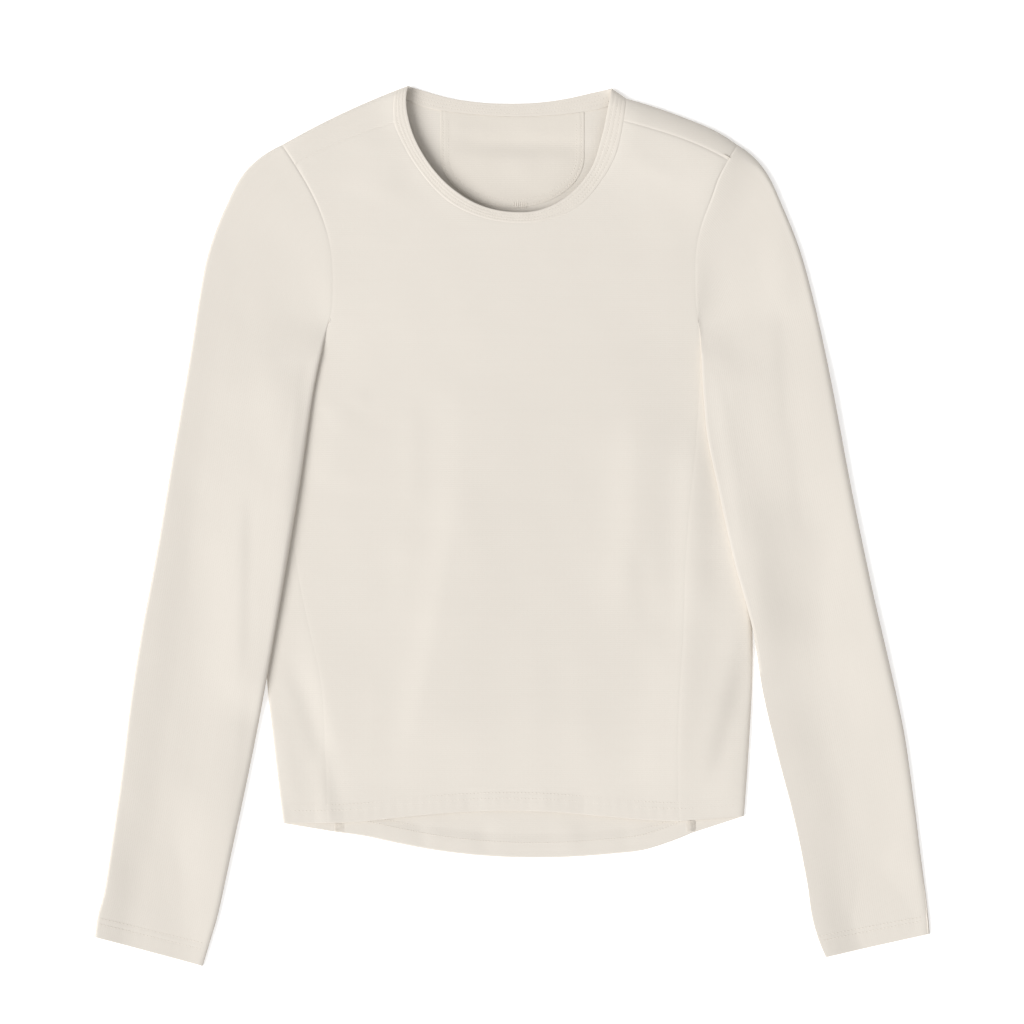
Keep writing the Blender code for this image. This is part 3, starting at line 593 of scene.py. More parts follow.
def knitMaterial(name, turned=False, shift=(1.0, 1.0, 1.0)):
    # Ribs, and V-shaped stitches in columns, from the piece's own cloth coordinates in metres.
    material = bpy.data.materials.new(name)
    material.use_nodes = True
    tree = material.node_tree
    shader = tree.nodes["Principled BSDF"]

    def maths(operation, first, second=0.0, third=0.0):
        node = linked(tree, "ShaderNodeMath", {0: first, 1: second, 2: third}, operation=operation)
        return node.outputs[0]

    cloth = linked(tree, "ShaderNodeUVMap", uv_map="cloth")
    parts = linked(tree, "ShaderNodeSeparateXYZ", {0: cloth.outputs[0]})
    across, along = parts.outputs[0], parts.outputs[1]
    if turned:
        across, along = along, across
    wale = maths("MULTIPLY", across, 1000 / knit["wale"])
    course = maths("MULTIPLY", along, 1000 / knit["course"])
    lean = maths("PINGPONG", wale, 0.5)                      # 0 to 0.5 and back over a column
    vee = maths("ADD", course, maths("MULTIPLY", lean, 1.3))
    vee = maths("SINE", maths("MULTIPLY", vee, 2 * np.pi))
    column = maths("SINE", maths("MULTIPLY", maths("FRACT", wale), np.pi))
    rib = maths("SINE", maths("MULTIPLY", along, 2000 * np.pi / knit["rib"]))
    fuzz = linked(tree, "ShaderNodeTexNoise", {"Vector": cloth.outputs[0], "Scale": 900.0, "Detail": 3.0})
    cloudy = {"Vector": cloth.outputs[0], "Scale": 26.0, "Detail": 4.0, "Roughness": 0.6}
    cloud = linked(tree, "ShaderNodeTexNoise", cloudy)
    stretch = (320.0, 14.0, 1.0) if turned else (14.0, 320.0, 1.0)
    streak = linked(tree, "ShaderNodeMapping", {0: cloth.outputs[0], 3: stretch})
    yarn = linked(tree, "ShaderNodeTexNoise", {"Vector": streak.outputs[0], "Scale": 1.0, "Detail": 3.0})
    share = knit["heights"]
    height = maths("MULTIPLY_ADD", vee, share["vee"], maths("MULTIPLY", column, share["column"]))
    height = maths("MULTIPLY_ADD", rib, share["rib"], height)
    height = maths("MULTIPLY_ADD", fuzz.outputs[0], share["fuzz"], height)
    raised = {"Strength": knit["bump"], "Distance": knit["bumpDepth"], "Height": height}
    bump = linked(tree, "ShaderNodeBump", raised)
    tree.links.new(bump.outputs[0], shader.inputs["Normal"])
    share = knit["tones"]
    tone = maths("MULTIPLY", yarn.outputs[0], share["yarn"])
    tone = maths("MULTIPLY_ADD", cloud.outputs[0], share["cloud"], tone)
    tone = maths("MULTIPLY_ADD", rib, share["rib"], tone)
    tone = maths("MULTIPLY_ADD", vee, share["vee"], tone)
    shades = linked(tree, "ShaderNodeMix", {0: tone}, data_type="RGBA", clamp_factor=True)
    for socket, base in ((shades.inputs[6], knit["shade"]), (shades.inputs[7], knit["ivory"])):
        socket.default_value = tuple(value * factor for value, factor in zip(base, shift)) + (1.0,)
    tree.links.new(shades.outputs[2], shader.inputs["Base Color"])
    shader.inputs["Roughness"].default_value = knit["roughness"]
    shader.inputs["Specular IOR Level"].default_value = 0.25
    shader.inputs["Sheen Weight"].default_value = knit["sheen"]
    shader.inputs["Sheen Roughness"].default_value = 0.6
    shader.inputs["Sheen Tint"].default_value = (1.0, 0.96, 0.9, 1.0)
    return material


def threadMaterial():
    # Two plies twisted round each other: slanted stripes over the thread's own coordinates.
    material = bpy.data.materials.new("stitchThread")
    material.use_nodes = True
    tree = material.node_tree
    shader = tree.nodes["Principled BSDF"]
    cloth = linked(tree, "ShaderNodeUVMap", uv_map="cloth")
    wavy = {"Vector": cloth.outputs[0], "Scale": 420.0, "Distortion": 0.4}
    wave = linked(tree, "ShaderNodeTexWave", wavy, bands_direction="DIAGONAL")
    raised = {"Strength": threadLook["bump"], "Distance": threadLook["bumpDepth"], "Height": wave.outputs[1]}
    bump = linked(tree, "ShaderNodeBump", raised)
    tree.links.new(bump.outputs[0], shader.inputs["Normal"])
    shades = linked(tree, "ShaderNodeMix", {0: wave.outputs[1]}, data_type="RGBA")
    shades.inputs[6].default_value = threadLook["dark"] + (1.0,)
    shades.inputs[7].default_value = threadLook["light"] + (1.0,)
    tree.links.new(shades.outputs[2], shader.inputs["Base Color"])
    shader.inputs["Roughness"].default_value = threadLook["roughness"]
    return material


jersey = knitMaterial("thermalJersey")
sleeveJersey = knitMaterial("sleeveJersey", turned=True)
bindingJersey = knitMaterial("neckBinding", turned=True, shift=(0.99, 0.985, 0.98))
patchJersey = knitMaterial("neckPatch", shift=(0.985, 0.98, 0.97))
thread = threadMaterial()

seamLook = {
    "width": 0.75,                            # half width of the valley along a seam
    "forward": 0.26, "side": 0.025, "neck": 0.04,
    "armhole": (0.04, 0.34), "armholeY": (222.0, 285.0),    # deeper towards the shoulder
    "allowance": 0.22, "allowanceOff": 2.0, "allowanceRise": 1.6, "allowanceFall": 7.0,
}
hemLook = {
    "wall": 1.1, "turned": 0.8, "depth": 15.8,       # the cloth, and the turned layer under the hem
    "turnedFade": 1.2,
    "rows": (10.3, 14.9), "groove": 0.20, "grooveWidth": 0.75,
    "raise": 0.18, "pucker": 0.07, "puckerLength": 8.5,
    "puckerMiddle": 8.5, "puckerReach": 6.5, "puckerSwing": (1.3, 11.0),
    "round": 0.55, "edgeDrop": 0.8, "edgeShare": 0.25,
    "stitched": (-182, 184),                         # from x to x
}


def seamDip(distance, depth):
    # -depth * exp(-(d / width)^2), and beside it the allowance: a low ridge that rises fast and falls
    # slowly.
    look = seamLook
    off = distance - look["allowanceOff"]
    ridge = bell(off, np.where(off < 0, look["allowanceRise"], look["allowanceFall"]))
    return look["allowance"] * ridge * np.minimum(0.3 + depth, 1) - depth * bell(distance, look["width"])


def armholeDepth(y):
    # From the shallow depth to the deep one, eased between the two heights.
    low, high = seamLook["armholeY"]
    shallow, deep = seamLook["armhole"]
    return shallow + (deep - shallow) * ease((y - low) / (high - low))


def hemRelief(distance, along, top=True):
    # Two stitched grooves, the raised band of the turned layer, puckers between, and a rounded edge.
    look = hemLook
    band = ease((look["depth"] - distance) / 1.6)
    swing, swingLength = look["puckerSwing"]
    puckers = np.sin(2 * np.pi * along / look["puckerLength"] + swing * np.sin(along / swingLength))
    middle = bell(distance - look["puckerMiddle"], look["puckerReach"])
    height = look["raise"] * band + look["pucker"] * puckers * middle
    for row in look["rows"]:
        height -= look["groove"] * bell(distance - row, look["grooveWidth"])
    if top:
        height -= (1 - foldShare(distance, look["round"])) * look["round"] * look["edgeDrop"]
    return height


def hemWall(distance):
    # The wall with the turned layer, rounded off at the very edge.
    look = hemLook
    wall = look["wall"] + look["turned"] * ease((look["depth"] - distance) / look["turnedFade"])
    return wall * (look["edgeShare"] + (1 - look["edgeShare"]) * foldShare(distance, look["round"]))


frontEdges = [(coarse(neckFrontPath), "neck")]
for side in ("left", "right"):
    for edge, kind in (("forward", "forward"), ("sideFront", "side"), ("armhole", "armhole")):
        frontEdges.append((coarse(seams[side][edge], 40), kind))


def nearestSeam(x, y):
    # The distance to the nearest seam of the front, and that seam's depth.
    distances = np.stack([toPath(edge, x, y)[0] for edge, kind in frontEdges])
    depths = np.stack([armholeDepth(y) if kind == "armhole" else np.full(x.shape, seamLook[kind])
                       for edge, kind in frontEdges])
    first = np.argmin(distances, axis=0)[None]
    return np.take_along_axis(distances, first, 0)[0], np.take_along_axis(depths, first, 0)[0]


def frontTop(x, y):
    # The body's upper layer with its seams and hem.
    toHem = toPath(coarse(frontHemPath, 80), x, y)[0]
    return bodyTop(x, y) + seamDip(*nearestSeam(x, y)) + hemRelief(toHem, x)


def frontPanelGrid():
    # Rows leave the neck seam; the sides run along the forward seam, the armhole and the side seam.
    sides = []
    for side in ("left", "right"):
        own = seams[side]
        length = lengthOf(own["forward"])
        forward = atDistances(own["forward"], length - marksAlong(0, length, 34, edgeMarks))
        armhole = atDistances(own["armhole"], np.linspace(own["toForward"], own["length"], 58))
        sides.append(np.vstack([forward, armhole[1:], own["sideFront"]]))
    shares = marksAlong(0, 1, 138, crowdStart=np.array(edgeMarks) / 300, crowdEnd=np.array(edgeMarks) / 300)
    start = seams["left"]["toNeck"]
    end = lengthOf(neckFrontPath) - seams["right"]["toNeck"]
    top = atDistances(neckFrontPath, start + (end - start) * shares)
    hem = smoothPath(frontHem)
    bottom = atDistances(hem, shares * lengthOf(hem))
    plan = coons(top, bottom, sides[0], sides[1], fade=2)
    return drawnBack(plan, firstRow=True, firstColumn=True, lastColumn=True)


def makeFrontPanel():
    # The upper layer over its grid, less its wall.
    plan = frontPanelGrid()
    x, y = plan[..., 0], plan[..., 1]
    outer = withHeight(plan, frontTop(x, y))
    wall = hemWall(toPath(coarse(frontHemPath, 80), x, y)[0])
    faces = gridFaces(*plan.shape[:2])
    piece = clothShell("frontPanel", outer, wall.reshape(-1), plan, jersey, faces)
    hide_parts("front_panel")


backLook = {
    "wall": 1.1, "hemDepth": 16.4, "turned": 0.75, "round": 1.1, "edgeDrop": 0.75,
    "turnedFade": 0.9, "stitchOff": 14.6, "groove": 0.2, "grooveWidth": 0.8,
    "neckDip": 0.12, "neckWidth": 1.2,
    "settle": 8.0, "atEdge": 0.35,            # the share of a fold's height that is left at the hem
    "fadeRows": 6,                            # at the shoulders the folds begin over so many rows
}


def backInner(x, y):
    # How far the inner face departs from flat: soft folds, the turned hem, and a dip at the neck seam.
    look = backLook
    distance = toPath(coarse(backHemPath, 80), x, y)[0]
    turned = look["turned"] * ease((look["hemDepth"] - distance) / look["turnedFade"])
    rounded = (1 - foldShare(distance, look["round"])) * (look["wall"] + look["turned"]) * look["edgeDrop"]
    groove = look["groove"] * bell(distance - look["stitchOff"], look["grooveWidth"])
    neck = look["neckDip"] * bell(toPath(coarse(neckBackPath), x, y)[0], look["neckWidth"])
    soft = relief(innerFolds, x, y) + undulation(x, y, *uneven["back"])
    full = ease(distance / look["settle"])
    return turned - rounded - groove - neck + soft * (look["atEdge"] + (1 - look["atEdge"]) * full)


def yokeGrid(side, shares, rowMarks):
    # The strip from the forward seam over the shoulder fold to the surface it lies on: its height is
    # that of the body times 0.5 +- 0.5 of a quarter ellipse from the fold.
    own = seams[side]
    radius = lay["foldRound"][side]
    turn = len(foldMarks(radius))
    fold = atDistances(own["shoulder"], shares * lengthOf(own["shoulder"]))
    forward = atDistances(own["forward"], shares * lengthOf(own["forward"]))
    armhole = atDistances(own["armhole"], rowMarks(side, own["toForward"]))
    neckMarks = rowMarks(side, own["toNeck"])
    if side == "right":
        neckMarks = lengthOf(neckFrontPath) - neckMarks
    top = coons(fold, forward, armhole, atDistances(neckFrontPath, neckMarks))
    inward = np.full(len(armhole), radius)
    inward[:turn] = foldMarks(radius)
    share = foldShare(inward, radius)[:, None]
    x, y = top[..., 0], top[..., 1]
    upper = withHeight(top, bodyTop(x, y) * (0.5 + 0.5 * share) + seamDip(*nearestSeam(x, y)) * share)[::-1]
    backMarks = foldMarks(radius)
    if side == "right":
        backMarks = lengthOf(neckBackPath) - backMarks
    underNeck = atDistances(neckBackPath, backMarks)
    underArmhole = armhole[:turn]
    direction = np.gradient(fold, axis=0)
    normal = unit(np.stack([direction[:, 1], -direction[:, 0]], axis=-1))
    normal *= -np.sign(normal[:, 1:])            # towards the hem
    inset = fold + normal * radius
    s = shares[:, None]
    inset = inset + (1 - s) * (underArmhole[-1] - inset[0]) + s * (underNeck[-1] - inset[-1])
    under = coons(fold, inset, underArmhole, underNeck)
    share = foldShare(foldMarks(radius), radius)[:, None]
    lower = withHeight(under, bodyTop(under[..., 0], under[..., 1]) * (0.5 - 0.5 * share))
    return np.vstack([upper, lower[1:]])


def makeBackPanel():
    # The flat sheet between the seams, with a yoke strip joined on at each shoulder. What shows through
    # the neck and below the front hem is its inner face.
    shares = marksAlong(0, 1, 34, crowdStart=np.array(edgeMarks) / 95, crowdEnd=np.array(edgeMarks) / 95)

    def rowMarks(side, end):
        radius = lay["foldRound"][side]
        return np.concatenate([foldMarks(radius), marksAlong(radius, end, 5, crowdEnd=edgeMarks)[1:]])

    yokes = {side: yokeGrid(side, shares, rowMarks) for side in ("left", "right")}
    backLength = lengthOf(neckBackPath)
    radii = lay["foldRound"]
    neck = atDistances(neckBackPath, np.linspace(radii["left"], backLength - radii["right"], 72))
    top = np.vstack([yokes["left"][-1, :, :2], neck[1:-1], yokes["right"][-1, ::-1, :2]])
    sides = []
    for side in ("left", "right"):
        own = seams[side]
        armhole = atDistances(own["armhole"], np.linspace(radii[side], own["length"], 66))
        sides.append(np.vstack([armhole, own["sideBack"]]))
    share = (top[:, 0] - top[0, 0]) / (top[-1, 0] - top[0, 0])
    hem = smoothPath(backHem)
    bottom = atDistances(hem, share * lengthOf(hem))
    plan = coons(top, bottom, sides[0], sides[1])
    flat = drawnBack(withHeight(plan, np.zeros(plan.shape[:2])), firstColumn=True, lastColumn=True)
    span = len(shares)
    middle = slice(span - 1, span + len(neck) - 1)
    flat[:, middle] = drawnBack(flat[:, middle], firstRow=True)
    high = len(yokes["left"]) - 1
    grid = np.full((high + len(flat), flat.shape[1], 3), np.nan)
    grid[high:] = flat
    for side, columns, step in (("left", slice(0, span), 1), ("right", slice(-span, None), -1)):
        drawn = drawnBack(yokes[side], firstRow=True, firstColumn=True, lastColumn=True)
        grid[:high, columns] = drawn[:-1, ::step]
    present = ~np.isnan(grid[..., 0])
    grid[..., 2] = np.maximum(grid[..., 2], 0)
    faces = gridFaces(*present.shape, present=present)
    soft = np.zeros(present.shape)
    soft[high:] = backInner(flat[..., 0], flat[..., 1])
    fadeIn = ease(np.arange(len(flat)) / backLook["fadeRows"])[:, None]
    soft[high:, :span] *= fadeIn
    soft[high:, -span:] *= fadeIn
    piece = clothShell("backPanel", grid, backLook["wall"], grid[..., :2], jersey, faces, innerRelief=soft)
    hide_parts("back_panel")


sidePanelLook = {"columns": 14, "narrowest": 0.6, "foldStarts": 5.0}


def makeSidePanel(side):
    # Upper sheet from the front seam to the fold and lower one from there to the back seam: height is that
    # of the body times 0.5 +- 0.5 of a quarter ellipse from the fold.
    look = sidePanelLook
    own = seams[side]
    fold = own["sideFold"]
    radius = lay["sideRound"][side]
    toSeamLine = coarse(own["sideFront"])
    sheets, walls = [], []
    for seam, sign, hem in ((own["sideFront"], 1, frontHemPath), (own["sideBack"], -1, backHemPath)):
        width = np.maximum(np.linalg.norm(seam - fold, axis=1), 0.05)[:, None]
        narrowed = np.minimum(radius, look["narrowest"] * width)     # where the panel runs to a point
        rest = marksAlong(0, 1, look["columns"], crowdEnd=(0, 0.02, 0.05, 0.1))[None, 1:]
        distance = np.hstack([foldMarks(1.0)[None] * narrowed, narrowed + rest * (width - narrowed)])
        plan = fold[:, None] + (seam - fold)[:, None] * (distance / width)[..., None]
        share = foldShare(distance, narrowed)
        if sign > 0:
            share = np.maximum(share, 1 - ease(width / look["foldStarts"]))     # none yet at its very point
        x, y = plan[..., 0], plan[..., 1]
        height = bodyTop(x, y) * (0.5 + 0.5 * sign * share)
        toHem = toPath(coarse(hem, 80), x, y)[0]
        if sign > 0:
            seamDepth = seamDip(toPath(toSeamLine, x, y)[0], np.full(x.shape, seamLook["side"]))
            height += (seamDepth + hemRelief(toHem, x)) * share
            walls.append(hemWall(toHem))
        else:
            walls.append(np.full(x.shape, hemLook["wall"]))
        sheets.append(withHeight(plan, height))
    top, under = sheets
    grid = np.hstack([top[:, ::-1], under[:, 1:]])
    wall = np.hstack([walls[0][:, ::-1], walls[1][:, 1:]])
    atFold = walls[0].shape[1]
    wall[:, atFold:] = wall[:, atFold - 1:atFold] * 0.5 + hemLook["wall"] * 0.5
    grid = drawnBack(grid, firstColumn=True, lastColumn=True)
    grid[..., 2] = np.maximum(grid[..., 2], 0)
    across = gridLengths(grid, 1)
    turn = 1 if side == "right" else -1
    uv = np.stack([grid[:, :1, 0] + turn * across, grid[..., 1]], axis=-1)
    piece = clothShell(side + "SidePanel", grid, wall.reshape(-1), uv, jersey, gridFaces(*grid.shape[:2]))
    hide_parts("side_panel_" + side)


sleeveLook = {
    "wall": 1.1, "rings": 250, "columns": 42,
    "headSections": 3, "bowSections": 5,      # how far down the armhole's height and curve are felt
    "openSections": 2.5, "cornerSections": 1.0, "cornerWidth": 5.0, "cornerWall": 0.2,
    "overWidth": 12.0, "topLiftWidth": 42.0, "seamFade": 6.0,
    "cuffRows": (12.6, 16.6), "cuffDepth": 17.4, "cuffSink": 140.0, "cuffRelief": 0.6, "cuffFade": 5.0,
    "cuffShare": 0.3,
}


def makeSleeve(side):
    # A flattened tube: on each ring the two layers stand at thick * (0.5 +- 0.5 * quarter circle at the
    # folds), lifted where they lie on the body. Gives back the paths of the cuff's stitches.
    look = sleeveLook
    sections = sleeveSections[side]
    own = seams[side]
    last = len(sections) - 1
    stations = np.concatenate([
        np.linspace(0, 0.06, 5), np.linspace(0.06, last - 0.12, look["rings"])[1:],
        last - np.array([0.085, 0.055, 0.03, 0.012, 0.0]),
    ])
    rows = cubic(np.arange(len(sections)), sections, stations)
    outerEdge, innerEdge = rows[:, 0:2], rows[:, 2:4]
    width = np.linalg.norm(innerEdge - outerEdge, axis=1)
    begun = ease(stations / look["headSections"])[:, None]
    armhole = coarse(own["armhole"])
    cuff = np.array([outerEdge[-1], innerEdge[-1]])
    outerRound, innerRound = [lay["sleeveRound"][edge][side] for edge in ("outer", "inner")]
    even = np.linspace(0, 1, look["columns"] + 1)[1:-1]
    nearOuter, nearInner = foldMarks(outerRound), foldMarks(innerRound)[::-1]
    crossed = bodyOutline(side, innerEdge[:, 1]) - innerEdge[:, 0]
    if side == "left":
        crossed = -crossed
    crossed = ease(1 + crossed / look["overWidth"])[:, None]          # 1 where the sleeve lies over the body
    sheets, walls = [], []
    for sign in (1, -1):
        across = outerRound + (width[:, None] - outerRound - innerRound) * even
        distance = np.hstack([np.tile(nearOuter, (len(width), 1)), across, width[:, None] - nearInner])
        length = own["length"]
        level = outerRound + (length - outerRound - innerRound) * even
        marks = np.concatenate([nearOuter, level, length - nearInner])
        share = (1 - begun) * (marks / length)[None] + begun * distance / width[:, None]
        straight = outerEdge[:, None] + (innerEdge - outerEdge)[:, None] * share[..., None]
        bow = atDistances(own["armhole"], marks) - straight[0]
        plan = straight + bow[None] * (1 - ease(stations / look["bowSections"]))[:, None, None]
        x, y = plan[..., 0], plan[..., 1]
        fromOuter, fromInner = share * width[:, None], (1 - share) * width[:, None]
        outerRadius = np.interp(outerEdge[:, 1], *np.array(lay["outerRound"][side]).T)[:, None]
        rounded = np.minimum(foldShare(fromOuter, outerRadius), foldShare(fromInner, innerRound))
        if sign > 0:                                                  # no fold yet under the arm
            opened = 1 - ease(stations[:, None] / look["openSections"])
            rounded = np.maximum(rounded, opened * (share > 0.5))
        toArmhole, toCuff = toPath(armhole, x, y)[0], toPath(cuff, x, y)[0]
        tall = lay["sleeveHeight"]
        outer, inner = [np.interp(y, *np.array(rows).T) for rows in (tall["outer"], tall["inner"][side])]
        flat = outer + (inner - outer) * share
        lowered = share if side == "left" else 1 - share          # the side that sinks towards the cuff
        sunk = ease((look["cuffSink"] - toCuff) / look["cuffSink"]) * ease(lowered * 3)
        flat = flat - (flat - tall["cuff"]) * sunk
        thick = (1 - begun) * bodyTop(x, y) + begun * flat
        low = sleeveLift(side, x, y, lay["underarmReach"], lay["liftStart"], lay["liftEnd"])
        if sign > 0:
            creased = relief(sleeveFolds[side], x, y) + undulation(x, y, *uneven[side + "Sleeve"])
            thick = np.maximum(thick + creased * begun, lay["leastHeight"])
            reach = np.interp(y, *np.array(lay["climb"][side]).T)
            low = sleeveLift(side, x, y, reach, lay["liftStart"], lay["liftEnd"])
            high = sleeveLift(side, x, y, reach, lay["topLiftStart"], lay["topLiftEnd"])
            low = low + (high - low) * ease(fromInner / look["topLiftWidth"])
            fromFold = np.minimum(fromOuter, fromInner)
            thick = thick + seamDip(toArmhole, armholeDepth(y)) * foldShare(fromFold, look["seamFade"])
            cuffRelief = hemRelief(toCuff - look["cuffRows"][0] + hemLook["rows"][0], fromOuter, top=False)
            cuffRelief -= (1 - foldShare(toCuff, hemLook["round"])) * hemLook["round"] * hemLook["edgeDrop"]
            thick = thick + look["cuffRelief"] * cuffRelief * foldShare(fromFold, look["cuffFade"])
        turned = hemLook["turned"] * ease((look["cuffDepth"] - toCuff) / hemLook["turnedFade"])
        edge = look["cuffShare"] + (1 - look["cuffShare"]) * foldShare(toCuff, hemLook["round"])
        fromCorner = np.maximum(stations[:, None] / look["cornerSections"], fromInner / look["cornerWidth"])
        thin = look["cornerWall"] + (1 - look["cornerWall"]) * ease(fromCorner)
        walls.append((look["wall"] + turned) * edge * thin)
        sheets.append(withHeight(plan, low * crossed + thick * (0.5 + 0.5 * sign * rounded)))
    top, under = sheets
    under[:, 0], under[:, -1] = top[:, 0], top[:, -1]
    walls[1][:, 0], walls[1][:, -1] = walls[0][:, 0], walls[0][:, -1]
    grid = drawnBack(np.hstack([top, under[:, -2:0:-1]]), firstRow=True)
    grid[..., 2] = np.maximum(grid[..., 2], 0)
    wall = np.hstack([walls[0], walls[1][:, -2:0:-1]])
    around, down = gridLengths(grid, 1), gridLengths(grid, 0)
    middleColumn = top.shape[1] // 2
    uv = np.stack([around - around[:, middleColumn:middleColumn + 1], -down], axis=-1)
    faces = gridFaces(*grid.shape[:2], ring=True)
    piece = clothShell(side + "Sleeve", grid, wall.reshape(-1), uv, sleeveJersey, faces)
    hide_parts("sleeve_" + side + "_upper", "sleeve_" + side + "_lower")
    toCuff = toPath(cuff, top[:, middleColumn, 0], top[:, middleColumn, 1])[0]
    return [top[np.argmin(np.abs(toCuff - offset)), 5:-5] for offset in look["cuffRows"]]


bindingLook = {
    "wall": 1.9, "rise": 0.36, "round": 1.7, "rows": (0.25, 0.5, 0.75), "groove": 0.20, "grooveWidth": 0.5,
    "sunkEdge": 0.7,
    "columns": (
        0, 0.03, 0.07, 0.12, 0.17, 0.21, 0.25, 0.29, 0.33, 0.40, 0.46, 0.5, 0.54, 0.60, 0.67, 0.71, 0.75, 0.79,
        0.83, 0.88, 0.93, 0.97, 1,
    ),
}


def bandProfile(t, width):
    # Rounded at both edges, less a groove for each row of stitches.
    look = bindingLook
    inside = np.minimum(t, 1 - t) * width
    height = look["rise"] * foldShare(inside, look["round"])
    for row in look["rows"]:
        height = height - look["groove"] * bell((t - row) * width, look["grooveWidth"])
    return height


def makeNeckBinding():
    # A flattened ring: height is that of the body times 0.5 +- 0.5 of the quarter ellipse at its folds, and
    # the profile on top. Gives back the paths of its stitches.
    look = bindingLook
    radii = lay["foldRound"]
    atLeft, atRight = foldMarks(radii["left"]), foldMarks(radii["right"])[::-1]
    t = np.array(look["columns"])[:, None]
    sheets, walls, rowPaths = [], [], []
    for freePoints, sewn, sign in ((neckFrontFree, neckFrontPath, 1), (neckBackFree, neckBackPath, -1)):
        free = smoothPath(freePoints)
        freeLength, sewnLength = lengthOf(free), lengthOf(sewn)
        count = int(sewnLength / 1.9)
        sewnMarks, freeMarks = [
            np.concatenate([
                atLeft, np.linspace(radii["left"], length - radii["right"], count)[1:-1], length - atRight,
            ])
            for length in (sewnLength, freeLength)
        ]
        freeLine, sewnLine = atDistances(free, freeMarks), atDistances(sewn, sewnMarks)
        plan = freeLine + (sewnLine - freeLine) * t[..., None]
        width = np.linalg.norm(sewnLine - freeLine, axis=1)[None]
        fromLeft, fromRight = sewnMarks, sewnLength - sewnMarks
        share = np.minimum(foldShare(fromLeft, radii["left"]), foldShare(fromRight, radii["right"]))[None]
        x, y = plan[..., 0], plan[..., 1]
        height = bodyTop(x, y) * (0.5 + 0.5 * sign * share)
        profile = bandProfile(t, width)
        bumps = undulation(x, y, *uneven["neckBand"])
        if sign > 0:
            height = height + (profile + bumps) * share
            sunkEdge = look["sunkEdge"] * (1 - foldShare(t * width, look["round"]))
            walls.append(np.full(x.shape, look["wall"]) - sunkEdge)
        else:
            walls.append(look["wall"] + (profile - look["rise"]) * share * 0.5 + bumps * share)
        sheet = withHeight(plan, height)
        sheets.append(sheet)
        for row in look["rows"]:
            line = sheet[look["columns"].index(row)].copy()
            if sign < 0:
                line[:, 2] += walls[-1][look["columns"].index(row)]
            rowPaths.append(line[len(atLeft) - 2:-len(atRight) + 2])
    front, back = sheets
    grid = np.hstack([front, back[:, -2:0:-1]])
    wall = np.hstack([walls[0], walls[1][:, -2:0:-1]])
    grid = drawnBack(grid, lastRow=True)
    grid[..., 2] = np.maximum(grid[..., 2], 0)
    around, down = gridLengths(grid, 1), gridLengths(grid, 0)
    uv = np.stack([down, np.broadcast_to(around[8:9], down.shape)], axis=-1)
    faces = gridFaces(*grid.shape[:2], ring=True)
    piece = clothShell("neckBand", grid, wall.reshape(-1), uv, bindingJersey, faces)
    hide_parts("neckband")
    return rowPaths


patchLook = {
    "left": -59.0, "right": 59.0, "shoulder": 303.0, "bottom": 261.0, "above": 0.28, "wall": 0.22,
    "rows": (2.2, 6.4), "groove": 0.16, "turned": 0.12, "turnedWidth": 8.0,
    "turnedFade": 1.5, "grooveWidth": 0.7, "edgeDrop": 0.2, "round": 1.8, "stitchTop": 334.0,
}


def patchOutline():
    # Down the left side, round the half moon and up the right side.
    look = patchLook
    turn = np.linspace(-np.pi / 2, np.pi / 2, 61)
    x = (look["left"] + look["right"]) / 2 + np.sin(turn) * (look["right"] - look["left"]) / 2
    y = look["shoulder"] - (look["shoulder"] - look["bottom"]) * np.cos(turn)
    upper = np.interp([look["left"], look["right"]], neckBackPath[:, 0], neckBackPath[:, 1])
    outline = np.stack([x, y], axis=-1)
    return np.vstack([[look["left"], upper[0] + 5], outline, [look["right"], upper[1] + 5]])


def patchTop(x, y):
    # A little above the inner face, higher over its turned edge, less the rounding and the grooves.
    look = patchLook
    distance = toPath(patchOutline(), x, y)[0]
    height = backLook["wall"] + backInner(x, y) + look["above"]
    height += look["turned"] * ease((look["turnedWidth"] - distance) / look["turnedFade"])
    height -= look["edgeDrop"] * (1 - foldShare(distance, look["round"]))
    for row in look["rows"]:
        height -= look["groove"] * bell(distance - row, look["grooveWidth"])
    return height


def makeNeckPatch():
    # A half moon: columns close together at both sides, rows close together at the bottom, both by sine.
    look = patchLook
    across = np.sin(np.linspace(-np.pi / 2, np.pi / 2, 71))
    x = (look["left"] + look["right"]) / 2 + across * (look["right"] - look["left"]) / 2
    top = np.interp(x, neckBackPath[:, 0], neckBackPath[:, 1]) - 0.2
    bottom = look["shoulder"] - (look["shoulder"] - look["bottom"]) * np.sqrt(np.maximum(1 - across**2, 0))
    down = np.sin(np.linspace(0, np.pi / 2, 56))[:, None]
    y = top + (bottom - top) * down
    x = np.broadcast_to(x, y.shape)
    plan = np.stack([x, y], axis=-1)
    outer = withHeight(plan, patchTop(x, y))
    piece = clothShell("neckPatch", outer, look["wall"], plan, patchJersey, gridFaces(*y.shape))
    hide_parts("back_neck_patch")


stitchLook = {
    "height": 0.24, "lift": 0.02, "endsDip": 0.30, "endsWidth": 0.35,
}


